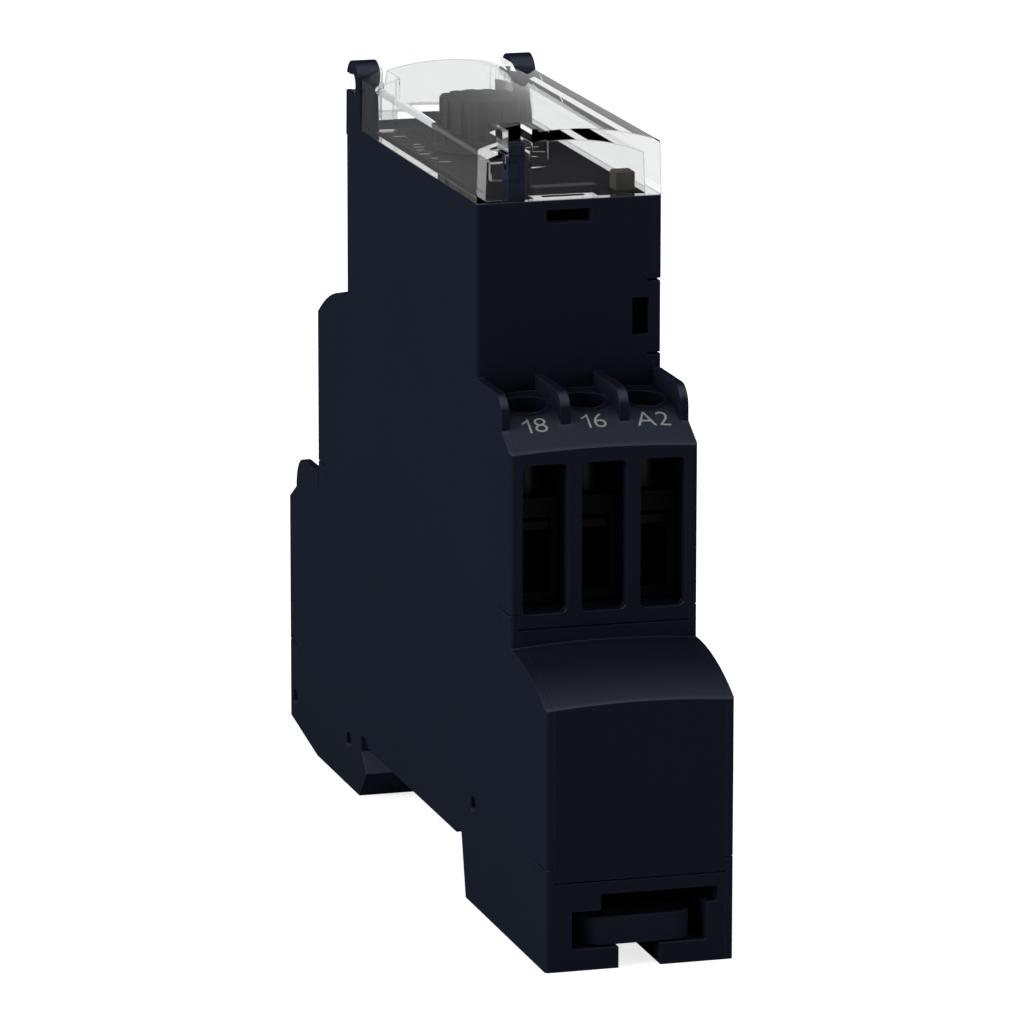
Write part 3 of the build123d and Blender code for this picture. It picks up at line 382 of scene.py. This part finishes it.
def drawn_metal_group():
    """The drawn or plated look of a metal part: fine lines along one axis."""
    name = "Drawn Metal"
    if name in bpy.data.node_groups:
        return bpy.data.node_groups[name]
    group = new_group(
        name,
        [
            ("Colour", "NodeSocketColor", (0.6, 0.6, 0.6, 1)),
            ("Tarnish", "NodeSocketColor", (0.3, 0.27, 0.2, 1)),
            ("Tarnish Share", "NodeSocketFloat", 0.25),
            ("Roughness", "NodeSocketFloat", 0.3),
            ("Stretch", "NodeSocketVector", (2500.0, 2500.0, 150.0)),
        ],
        [
            ("Colour", "NodeSocketColor"),
            ("Roughness", "NodeSocketFloat"),
            ("Height", "NodeSocketFloat"),
        ],
    )
    ends = add_node(group, "NodeGroupInput")
    out = add_node(group, "NodeGroupOutput")
    place = add_node(group, "ShaderNodeTexCoord")
    pull = add_node(group, "ShaderNodeVectorMath", operation="MULTIPLY")
    link(group, place, "Object", pull, 0)
    link(group, ends, "Stretch", pull, 1)
    lines = add_node(group, "ShaderNodeTexNoise", {"Scale": 1.0, "Detail": 4.0})
    link(group, pull, "Vector", lines, "Vector")
    cloud = add_node(group, "ShaderNodeTexNoise", {"Scale": 700.0, "Detail": 4.0})
    link(group, place, "Object", cloud, "Vector")
    share = add_node(group, "ShaderNodeMath", operation="MULTIPLY", use_clamp=True)
    link(group, cloud, "Fac", share, 0)
    link(group, ends, "Tarnish Share", share, 1)
    shade = add_node(group, "ShaderNodeMix", data_type="RGBA")
    link(group, share, "Value", shade, "Factor")
    link(group, ends, "Colour", shade, MIX_A)
    link(group, ends, "Tarnish", shade, MIX_B)
    link(group, shade, MIX_RESULT, out, "Colour")
    rough = add_node(
        group, "ShaderNodeMath", {1: 0.25}, operation="MULTIPLY_ADD", use_clamp=True
    )
    link(group, lines, "Fac", rough, 0)
    link(group, ends, "Roughness", rough, 2)
    link(group, rough, "Value", out, "Roughness")
    link(group, lines, "Fac", out, "Height")
    return group


def blank_material(name):
    """A new material, its node tree and its Principled shader."""
    material = bpy.data.materials.new(name)
    material.use_nodes = True
    tree = material.node_tree
    shader = next(node for node in tree.nodes if node.type == "BSDF_PRINCIPLED")
    return material, tree, shader


def finish_surface(tree, shader, group, depth, edge_radius):
    """Links a finish group to the shader, with its height and the soft edges."""
    link(tree, group, "Colour", shader, "Base Color")
    link(tree, group, "Roughness", shader, "Roughness")
    bump = add_node(tree, "ShaderNodeBump", {"Strength": 1.0, "Distance": depth})
    link(tree, group, "Height", bump, "Height")
    if edge_radius > 0:
        soft = add_node(tree, "ShaderNodeBevel", {"Radius": edge_radius}, samples=6)
        link(tree, soft, "Normal", bump, "Normal")
    else:
        soft = add_node(tree, "ShaderNodeNewGeometry")
    if "Soft Normal" in group.inputs:
        link(tree, soft, "Normal", group, "Soft Normal")
    link(tree, bump, "Normal", shader, "Normal")


def plastic(name, colour, roughness, settings, tone=0.06, edge=1.0, crest=None, **sockets):
    """Moulded plastic with painted highlights along its edges. edge is the share of the
    usual edge radius, and crest the colour of the painted highlight on its rounded crests."""
    material, tree, shader = blank_material(name)
    group = add_node(tree, "ShaderNodeGroup", node_tree=moulded_group())
    group.inputs["Colour"].default_value = (*colour, 1)
    group.inputs["Tone Change"].default_value = tone
    group.inputs["Roughness"].default_value = roughness
    group.inputs["Grain Scale"].default_value = 1 / settings.grain
    # Painted highlight: the edge colour is lighter than the plastic's own
    group.inputs["Edge Colour"].default_value = (*[settings.edge_highlight * c for c in colour], 1)
    # Painted highlight on the crests, as far as a broad rounding of the normal reaches
    if crest:
        group.inputs["Crest Colour"].default_value = (*crest, 1)
        broad = add_node(tree, "ShaderNodeBevel", {"Radius": settings.crest_reach}, samples=8)
        link(tree, broad, "Normal", group, "Crest Normal")
    finish_surface(tree, shader, group, settings.grain_depth, settings.edge_radius * edge)
    shader.inputs["Specular IOR Level"].default_value = settings.sheen
    for socket, value in sockets.items():
        shader.inputs[socket.replace("_", " ")].default_value = value
    return material


def metal(name, colour, tarnish, share, roughness, stretch, settings):
    """Drawn or plated metal."""
    material, tree, shader = blank_material(name)
    group = add_node(tree, "ShaderNodeGroup", node_tree=drawn_metal_group())
    group.inputs["Colour"].default_value = (*colour, 1)
    group.inputs["Tarnish"].default_value = (*tarnish, 1)
    group.inputs["Tarnish Share"].default_value = share
    group.inputs["Roughness"].default_value = roughness
    group.inputs["Stretch"].default_value = stretch
    finish_surface(tree, shader, group, settings.grain_depth / 3, settings.edge_radius / 2)
    shader.inputs["Metallic"].default_value = 1.0
    return material


def paint(names, material):
    """Gives CAD nodes one material on every slot."""
    for name in names:
        mesh = NODES[name].data
        mesh.materials.clear()
        mesh.materials.append(material)


def new_piece(name, mesh_data, material, body):
    """A finished piece at the origin that rides on a body."""
    piece = bpy.data.objects.new(name, mesh_data)
    bpy.context.scene.collection.objects.link(piece)
    mesh_data.materials.clear()
    mesh_data.materials.append(material)
    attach(piece, body)
    return piece


def surface_of(name):
    """A search tree over one CAD node's faces."""
    mesh = bmesh.new()
    mesh.from_mesh(NODES[name].data)
    tree = BVHTree.FromBMesh(mesh)
    mesh.free()
    return tree


# Pieces


class RELAY_OT_housing(bpy.types.Operator):
    """Give the moulded housing pieces and the clip their plastics"""

    bl_idname = "relay.housing"
    bl_label = "Dress Housing"

    def execute(self, context):
        plastics = context.scene.relay_plastics
        # Housing and clip both carry painted highlights on their crests and edges
        housing = plastic(
            "Housing Plastic", plastics.housing, 0.46, plastics, crest=plastics.crest
        )
        paint(HOUSING_NODES, housing)
        clip = plastic("Clip Plastic", plastics.clip, 0.5, plastics, crest=plastics.crest)
        paint(["din_clip"], clip)
        return {"FINISHED"}


class RELAY_OT_controls(bpy.types.Operator):
    """Give the fascia, dials and light guide their plastics"""

    bl_idname = "relay.controls"
    bl_label = "Dress Controls"

    def execute(self, context):
        plastics = context.scene.relay_plastics
        paint(["fascia"], plastic("Fascia Plastic", plastics.fascia, 0.55, plastics))
        paint(["time_knob"], plastic("Knob Plastic", plastics.knob, 0.5, plastics))
        dial = plastic("Dial Plastic", plastics.dial, 0.42, plastics, edge=0.5)
        paint(["range_selector", "mode_selector"], dial)
        # Painted shade is carried in the guide's dark colour
        guide = plastic(
            "Light Guide Plastic", plastics.guide, 0.22, plastics, tone=0.03, edge=0.5,
            Subsurface_Weight=0.15, Subsurface_Scale=0.8 * MM,
        )
        paint(["light_guide"], guide)
        return {"FINISHED"}


class RELAY_OT_terminals(bpy.types.Operator):
    """Give the clamp cages, contact bars and screws their metals"""

    bl_idname = "relay.terminals"
    bl_label = "Dress Terminals"

    def execute(self, context):
        plastics = context.scene.relay_plastics
        along = (2500.0, 150.0, 2500.0)
        upright = (2500.0, 2500.0, 150.0)
        # Painted shade: these metals are near black, far darker than plated steel and copper
        # alloy, to stand for the shade in the wire entries and screw holes
        cage = metal(
            "Cage Steel", (0.004, 0.004, 0.0045), (0.003, 0.003, 0.003), 0.5, 0.5,
            upright, plastics,
        )
        contact = metal(
            "Contact Alloy", (0.006, 0.005, 0.0035), (0.004, 0.003, 0.002), 0.5, 0.5,
            along, plastics,
        )
        screw = metal(
            "Screw Steel", (0.016, 0.016, 0.017), (0.010, 0.010, 0.009), 0.5, 0.45,
            upright, plastics,
        )
        for end in ("front", "rear"):
            paint([f"{end}_{pole}_cage" for pole in POLES], cage)
            paint([f"{end}_{pole}_contact" for pole in POLES], contact)
            paint([f"{end}_{pole}_screw" for pole in POLES], screw)
        return {"FINISHED"}


class RELAY_OT_inside(bpy.types.Operator):
    """Give the boards and the parts on them their finishes"""

    bl_idname = "relay.inside"
    bl_label = "Dress Inside"

    # Each node's material, colour and roughness
    PLASTICS = {
        "output_relay": ("Relay Cover Plastic", (0.012, 0.013, 0.015), 0.4),
        "dropper_capacitor": ("Film Capacitor Coating", (0.50, 0.30, 0.03), 0.3),
        "surge_varistor": ("Varistor Coat", (0.03, 0.10, 0.34), 0.36),
        "fuse_resistor": ("Resistor Lacquer", (0.36, 0.31, 0.20), 0.34),
        "control_chip": ("Chip Epoxy", (0.022, 0.022, 0.024), 0.5),
        "board_header": ("Header Plastic", (0.016, 0.016, 0.017), 0.45),
        "status_led": ("LED Lens", (0.45, 0.55, 0.42), 0.15),
    }

    def execute(self, context):
        plastics = context.scene.relay_plastics
        for node, (name, colour, roughness) in self.PLASTICS.items():
            paint([node], plastic(name, colour, roughness, plastics, edge=0.5))
        board = plastic(
            "Board Laminate", (0.003, 0.016, 0.008), 0.4, plastics, tone=0.2, edge=0
        )
        paint(["main_board", "front_board"], board)
        switch = plastic("Switch Plastic", (0.06, 0.062, 0.068), 0.45, plastics, edge=0.5)
        paint(["time_pot_body", "range_switch_body", "mode_switch_body"], switch)
        can = metal(
            "Can Aluminium", (0.74, 0.74, 0.75), (0.5, 0.5, 0.5), 0.3, 0.25,
            (150.0, 2500.0, 2500.0), plastics,
        )
        paint(["smoothing_capacitor"], can)
        return {"FINISHED"}


class RELAY_OT_cover(bpy.types.Operator):
    """Build the clear cover with polished, softly rounded edges"""

    bl_idname = "relay.cover"
    bl_label = "Build Clear Cover"

    # Edges between faces that meet at more than the first angle are rounded, and
    # the shading is broken at those above the second
    ROUNDED_ANGLE = math.radians(35)
    SHARP_ANGLE = math.radians(40)
    # Where painted shade darkens the plastic: how far it turns away, and how round its edges
    # are
    TURNED_AWAY = {"From Min": 0.9, "From Max": 0.995}
    ROUND_EDGE = {"From Min": 0.99, "From Max": 0.86, "To Min": 0.0, "To Max": 1.0}
    SHADOW_TINT = (0.9, 0.9, 0.9, 1)
    FLOW_SCALE = 160.0

    def clear_material(self, settings):
        """Clear plastic that lets the lamps through to what is under it, darkened by painted
        shade where it turns edge on and along its rounded edges.
        """
        material, tree, shader = blank_material("Clear Plastic")
        shader.inputs["Roughness"].default_value = settings.roughness
        facing = add_node(tree, "ShaderNodeLayerWeight", {"Blend": 0.5})
        outline = add_node(
            tree, "ShaderNodeMapRange", self.TURNED_AWAY, interpolation_type="SMOOTHSTEP"
        )
        link(tree, facing, "Facing", outline, "Value")
        rounded = add_node(tree, "ShaderNodeBevel", {"Radius": settings.rim}, samples=6)
        flat = add_node(tree, "ShaderNodeNewGeometry")
        across = add_node(tree, "ShaderNodeVectorMath", operation="DOT_PRODUCT")
        link(tree, rounded, "Normal", across, 0)
        link(tree, flat, "Normal", across, 1)
        corner = add_node(
            tree, "ShaderNodeMapRange", self.ROUND_EDGE, interpolation_type="SMOOTHSTEP"
        )
        link(tree, across, "Value", corner, "Value")
        darker = add_node(tree, "ShaderNodeMath", operation="MAXIMUM")
        link(tree, outline, "Result", darker, 0)
        link(tree, corner, "Result", darker, 1)
        # Painted shade: the tint gives way to the dark outline colour at the masked places
        body = add_node(tree, "ShaderNodeMix", data_type="RGBA")
        body.inputs[MIX_A].default_value = (*settings.tint, 1)
        body.inputs[MIX_B].default_value = (*settings.outline, 1)
        link(tree, darker, "Value", body, "Factor")
        link(tree, body, MIX_RESULT, shader, "Base Color")
        shader.inputs["IOR"].default_value = settings.bend
        shader.inputs["Transmission Weight"].default_value = 1.0
        place = add_node(tree, "ShaderNodeTexCoord")
        flow = add_node(tree, "ShaderNodeTexNoise", {"Scale": self.FLOW_SCALE, "Detail": 2.0})
        link(tree, place, "Object", flow, "Vector")
        bump = add_node(
            tree, "ShaderNodeBump", {"Strength": 1.0, "Distance": settings.flow_mark}
        )
        link(tree, flow, "Fac", bump, "Height")
        link(tree, bump, "Normal", shader, "Normal")
        out = next(node for node in tree.nodes if node.type == "OUTPUT_MATERIAL")
        path = add_node(tree, "ShaderNodeLightPath")
        through = add_node(tree, "ShaderNodeBsdfTransparent")
        through.inputs["Color"].default_value = self.SHADOW_TINT
        mix = add_node(tree, "ShaderNodeMixShader")
        link(tree, path, "Is Shadow Ray", mix, 0)
        link(tree, shader, 0, mix, 1)
        link(tree, through, 0, mix, 2)
        link(tree, mix, 0, out, "Surface")
        return material

    def execute(self, context):
        settings = context.scene.relay_cover
        mesh = bmesh.new()
        mesh.from_mesh(NODES["clear_cover"].data)
        bmesh.ops.remove_doubles(mesh, verts=mesh.verts, dist=0.001 * MM)
        bmesh.ops.dissolve_limit(
            mesh, angle_limit=math.radians(1.0), verts=mesh.verts, edges=mesh.edges
        )
        sharp = [
            edge for edge in mesh.edges
            if edge.is_manifold and edge.calc_face_angle(0) > self.ROUNDED_ANGLE
        ]
        bmesh.ops.bevel(
            mesh, geom=sharp, offset=settings.edge, offset_type="OFFSET", segments=2,
            profile=0.5, material=-1, affect="EDGES", clamp_overlap=True,
        )
        bmesh.ops.recalc_face_normals(mesh, faces=mesh.faces)
        for face in mesh.faces:
            face.smooth = True
        data = bpy.data.meshes.new("clear_cover_shell")
        mesh.to_mesh(data)
        mesh.free()
        data.set_sharp_from_angle(angle=self.SHARP_ANGLE)
        shell = new_piece(
            "clear_cover_shell", data, self.clear_material(settings), "cover"
        )
        even = shell.modifiers.new("Even Normals", "WEIGHTED_NORMAL")
        even.mode = "FACE_AREA"
        even.weight = 50
        even.keep_sharp = True
        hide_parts("clear_cover")
        return {"FINISHED"}


class RELAY_OT_numbers(bpy.types.Operator):
    """Print the terminal numbers on the ledges"""

    bl_idname = "relay.numbers"
    bl_label = "Print Terminal Numbers"

    # The outline of a flagged one, for a height of 1
    ONE = (
        (0.28, 0.0), (0.38, 0.0), (0.38, 1.0), (0.31, 1.0), (0.21, 0.88), (0.0, 0.76),
        (0.0, 0.65), (0.14, 0.71), (0.28, 0.80),
    )
    # Room after a letter, of which a one takes twice as much
    GAP = 0.1
    # Bands that a text is cut into, so that it can follow the ledge
    BANDS = 8
    # From the block's end face to the middle of a number
    SETBACK = 3.1 * MM
    # What the ledge's slope leaves of a number's height, seen from above
    SLOPE_SHARE = 0.86

    def glyph(self, letter):
        """One flat letter or digit, with its left foot at the origin and a height of 1."""
        mesh = bmesh.new()
        if letter == "1":
            mesh.faces.new([mesh.verts.new((x, y, 0)) for x, y in self.ONE])
            return mesh
        curve = bpy.data.curves.new("number", "FONT")
        curve.body = letter
        curve.resolution_u = 4
        curve.offset = -0.009
        holder = bpy.data.objects.new("number", curve)
        bpy.context.scene.collection.objects.link(holder)
        bpy.context.view_layer.update()
        flat = bpy.data.meshes.new_from_object(
            holder.evaluated_get(bpy.context.evaluated_depsgraph_get())
        )
        bpy.data.objects.remove(holder)
        mesh.from_mesh(flat)
        bpy.data.meshes.remove(flat)
        low = Vector([min(vert.co[axis] for vert in mesh.verts) for axis in range(3)])
        high = max(vert.co.y for vert in mesh.verts)
        bmesh.ops.translate(mesh, verts=mesh.verts, vec=-low)
        bmesh.ops.scale(mesh, verts=mesh.verts, vec=Vector((1, 1, 1)) / (high - low.y))
        return mesh

    def text_mesh(self, text, size, height):
        """A flat text, centred and cut into bands, as wide as its size and as high as given."""
        mesh = bmesh.new()
        reach = 0.0
        for letter in text:
            single = self.glyph(letter)
            bmesh.ops.translate(single, verts=single.verts, vec=(reach, 0, 0))
            room = 2 * self.GAP if letter == "1" else self.GAP
            reach = max(vert.co.x for vert in single.verts) + room
            part = bpy.data.meshes.new("letter")
            single.to_mesh(part)
            single.free()
            mesh.from_mesh(part)
            bpy.data.meshes.remove(part)
        full = max(vert.co.x for vert in mesh.verts)
        bmesh.ops.translate(mesh, verts=mesh.verts, vec=(-full / 2, -0.5, 0))
        bmesh.ops.scale(mesh, verts=mesh.verts, vec=(size, height, 1))
        for band in range(1, self.BANDS):
            line = height * (band / self.BANDS - 0.5)
            bmesh.ops.bisect_plane(
                mesh, geom=mesh.verts[:] + mesh.edges[:] + mesh.faces[:],
                plane_co=(0, line, 0), plane_no=(0, 1, 0),
            )
        return mesh

    def execute(self, context):
        marks = context.scene.relay_marks
        plastics = context.scene.relay_plastics
        ink = plastic("Print Ink", plastics.marks, 0.6, plastics, tone=0.05, edge=0)
        for end, sign, text in (
            ("front", -1, marks.front_text), ("rear", 1, marks.rear_text),
        ):
            node = f"{end}_terminal_block"
            surface = surface_of(node)
            low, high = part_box(node)
            face = low.y if sign < 0 else high.y
            middle = face - sign * self.SETBACK
            whole = bmesh.new()
            words = text.split()
            if sign > 0:
                words.reverse()
            for word, pole in zip(words, POLES):
                cage_low, cage_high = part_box(f"{end}_{pole}_cage")
                x = (cage_low.x + cage_high.x) / 2 + sign * marks.text_shift
                letters = self.text_mesh(
                    word, marks.text_height, marks.text_height * self.SLOPE_SHARE
                )
                turn = Matrix.Rotation(0 if sign < 0 else math.pi, 4, "Z")
                bmesh.ops.transform(
                    letters, matrix=Matrix.Translation((x, middle, 0)) @ turn,
                    verts=letters.verts,
                )
                part = bpy.data.meshes.new("number_part")
                letters.to_mesh(part)
                letters.free()
                whole.from_mesh(part)
                bpy.data.meshes.remove(part)
            for vert in whole.verts:
                spot, normal, _, _ = surface.ray_cast(
                    Vector((vert.co.x, vert.co.y, high.z + MM)), Vector((0, 0, -1))
                )
                vert.co = spot + normal * marks.ink
            bmesh.ops.recalc_face_normals(whole, faces=whole.faces)
            if sum(face.normal.z for face in whole.faces) < 0:
                bmesh.ops.reverse_faces(whole, faces=whole.faces)
            data = bpy.data.meshes.new(f"{end}_numbers")
            whole.to_mesh(data)
            whole.free()
            new_piece(f"{end}_numbers", data, ink, "enclosure")
        return {"FINISHED"}


class RELAY_OT_scale(bpy.types.Operator):
    """Print the ticks around the dials on the fascia"""

    bl_idname = "relay.scale"
    bl_label = "Print Dial Scale"

    # Dashes at the left of the dials: middle x, y and length in millimetres
    DASHES = (
        (-6.18, 15.7, 1.22), (-5.63, 13.2, 1.28), (-5.30, 8.6, 0.69),
        (-5.49, 7.15, 1.08), (-5.78, 5.6, 0.64), (-5.9, 3.5, 1.1), (-5.6, 1.2, 0.7),
        (-5.2, -0.9, 1.1),
    )
    # Ticks at the right of the time knob: how many, the first one's angle, the
    # angle between two and the gap to the knob
    TICKS = 7
    FIRST_ANGLE = 63
    ANGLE_STEP = 27
    KNOB_GAP = 0.5 * MM

    def execute(self, context):
        marks = context.scene.relay_marks
        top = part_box("fascia")[1].z + marks.ink
        plate = bmesh.new()

        def tick(x, y, length, width, angle):
            place = Matrix.Translation((x, y, top)) @ Matrix.Rotation(angle, 4, "Z")
            size = Matrix.Diagonal((length, width, 1, 1))
            bmesh.ops.create_grid(
                plate, x_segments=1, y_segments=1, size=0.5, matrix=place @ size
            )

        knob_low, knob_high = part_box("time_knob")
        centre = (knob_low + knob_high) / 2
        reach = (knob_high.x - knob_low.x) / 2 + marks.tick_length / 2 + self.KNOB_GAP
        for step in range(self.TICKS):
            angle = math.radians(self.FIRST_ANGLE - self.ANGLE_STEP * step)
            spot = centre + Vector((math.cos(angle), math.sin(angle), 0)) * reach
            tick(spot.x, spot.y, marks.tick_length, marks.tick_width, angle)
        for x, y, length in self.DASHES:
            tick(x * MM, y * MM, length * MM, marks.tick_width, 0)
        data = bpy.data.meshes.new("dial_scale")
        plate.to_mesh(data)
        plate.free()
        ink = bpy.data.materials["Print Ink"]
        new_piece("dial_scale", data, ink, "enclosure")
        return {"FINISHED"}


class RELAY_OT_stage(bpy.types.Operator):
    """Set the floor, the lamps, the white surroundings and the camera"""

    bl_idname = "relay.stage"
    bl_label = "Set Stage"

    # The point that the lamps shine at, and each lamp's size and place, in metres
    LAMP_TARGET = (0, 0, 0.035)
    LAMPS = {
        "key": (0.6, (-0.85, -0.08, 0.30)),
        "top": (0.7, (0.05, -0.2, 0.9)),
        "fill": (0.6, (0.55, -0.75, 0.12)),
        "back": (0.6, (0.25, 0.60, 0.75)),
    }
    FLOOR_SIZE = 6.0
    FLOOR_COLOUR = (0.86, 0.86, 0.86, 1)
    FLOOR_GLOW = 0.78

    def seen_directly(self, tree):
        """1 for a ray from the camera, from a mirror or through glass, else 0."""
        path = add_node(tree, "ShaderNodeLightPath")
        mirrored = add_node(tree, "ShaderNodeMath", operation="MAXIMUM")
        link(tree, path, "Is Glossy Ray", mirrored, 0)
        link(tree, path, "Is Transmission Ray", mirrored, 1)
        seen = add_node(tree, "ShaderNodeMath", operation="MAXIMUM")
        link(tree, path, "Is Camera Ray", seen, 0)
        link(tree, mirrored, "Value", seen, 1)
        return seen

    def world(self, ambient):
        """A soft even world, white to the camera, to mirrors and through glass."""
        world = bpy.data.worlds.new("Studio")
        world.use_nodes = True
        tree = world.node_tree
        soft = next(node for node in tree.nodes if node.type == "BACKGROUND")
        soft.inputs["Strength"].default_value = ambient
        soft.inputs["Color"].default_value = WHITE
        out = next(node for node in tree.nodes if node.type == "OUTPUT_WORLD")
        white = add_node(tree, "ShaderNodeBackground", {"Color": WHITE, "Strength": 1.0})
        mix = add_node(tree, "ShaderNodeMixShader")
        link(tree, self.seen_directly(tree), "Value", mix, 0)
        link(tree, soft, 0, mix, 1)
        link(tree, white, 0, mix, 2)
        link(tree, mix, 0, out, "Surface")
        bpy.context.scene.world = world

    def floor(self):
        """A wide pale floor that keeps the object's shadow."""
        mesh = bmesh.new()
        bmesh.ops.create_grid(mesh, x_segments=1, y_segments=1, size=self.FLOOR_SIZE)
        data = bpy.data.meshes.new("floor")
        mesh.to_mesh(data)
        mesh.free()
        floor = bpy.data.objects.new("floor", data)
        bpy.context.scene.collection.objects.link(floor)
        material, tree, shader = blank_material("Pale Floor")
        shader.inputs["Base Color"].default_value = self.FLOOR_COLOUR
        shader.inputs["Roughness"].default_value = 0.9
        shader.inputs["Specular IOR Level"].default_value = 0.0
        shader.inputs["Emission Color"].default_value = WHITE
        glow = add_node(tree, "ShaderNodeMath", {1: self.FLOOR_GLOW}, operation="MULTIPLY")
        link(tree, self.seen_directly(tree), "Value", glow, 0)
        link(tree, glow, "Value", shader, "Emission Strength")
        data.materials.append(material)

    def lamp(self, name, power, size, place):
        """A square area lamp at a place, turned to the object."""
        light = bpy.data.lights.new(name, "AREA")
        light.energy = power
        light.size = size
        holder = bpy.data.objects.new(name, light)
        bpy.context.scene.collection.objects.link(holder)
        holder.location = place
        aim = Vector(self.LAMP_TARGET) - Vector(place)
        holder.rotation_euler = aim.to_track_quat("-Z", "Y").to_euler()

    def camera(self, studio):
        """The camera at the photographed view."""
        data = bpy.data.cameras.new("camera")
        data.lens = studio.lens
        data.clip_start = 0.05
        data.clip_end = 20
        camera = bpy.data.objects.new("camera", data)
        bpy.context.scene.collection.objects.link(camera)
        level = math.cos(studio.elevation)
        forward = Vector((
            -math.sin(studio.azimuth) * level,
            math.cos(studio.azimuth) * level,
            -math.sin(studio.elevation),
        ))
        turn = forward.to_track_quat("-Z", "Y").to_matrix().to_4x4()
        roll = Matrix.Rotation(studio.roll, 4, "Z")
        place = Vector(studio.aim) - forward * studio.distance
        camera.matrix_world = Matrix.Translation(place) @ turn @ roll
        bpy.context.scene.camera = camera

    def execute(self, context):
        studio = context.scene.relay_studio
        scene = context.scene
        scene.view_settings.view_transform = "Standard"
        self.world(studio.ambient)
        self.floor()
        for name, (size, place) in self.LAMPS.items():
            self.lamp(name, getattr(studio, name), size, place)
        self.camera(studio)
        return {"FINISHED"}


class RELAY_PT_panel(bpy.types.Panel):
    """Lists the steps that finish the relay"""

    bl_idname = "RELAY_PT_panel"
    bl_label = "Relay"
    bl_space_type = "VIEW_3D"
    bl_region_type = "UI"
    bl_category = "Relay"

    def draw(self, context):
        layout = self.layout
        for operator in OPERATORS:
            layout.operator(operator.bl_idname)
        for group in SETTINGS:
            settings = getattr(context.scene, group)
            box = layout.box()
            for name in settings.bl_rna.properties.keys():
                if name not in ("rna_type", "name"):
                    box.prop(settings, name)


SETTINGS = {
    "relay_plastics": RELAY_PG_plastics,
    "relay_cover": RELAY_PG_cover,
    "relay_marks": RELAY_PG_marks,
    "relay_studio": RELAY_PG_studio,
}
OPERATORS = (
    RELAY_OT_housing,
    RELAY_OT_controls,
    RELAY_OT_terminals,
    RELAY_OT_inside,
    RELAY_OT_cover,
    RELAY_OT_numbers,
    RELAY_OT_scale,
    RELAY_OT_stage,
)


def register():
    for group in SETTINGS.values():
        bpy.utils.register_class(group)
    for operator in OPERATORS:
        bpy.utils.register_class(operator)
    bpy.utils.register_class(RELAY_PT_panel)
    for name, group in SETTINGS.items():
        setattr(bpy.types.Scene, name, PointerProperty(type=group))


def unregister():
    for name in SETTINGS:
        delattr(bpy.types.Scene, name)
    bpy.utils.unregister_class(RELAY_PT_panel)
    for operator in reversed(OPERATORS):
        bpy.utils.unregister_class(operator)
    for group in reversed(SETTINGS.values()):
        bpy.utils.unregister_class(group)


def main():
    register()
    for operator in OPERATORS:
        group, name = operator.bl_idname.split(".")
        result = getattr(getattr(bpy.ops, group), name)()
        if "FINISHED" not in result:
            raise RuntimeError(f"{operator.bl_idname} did not finish")


if __name__ == "__main__":
    main()
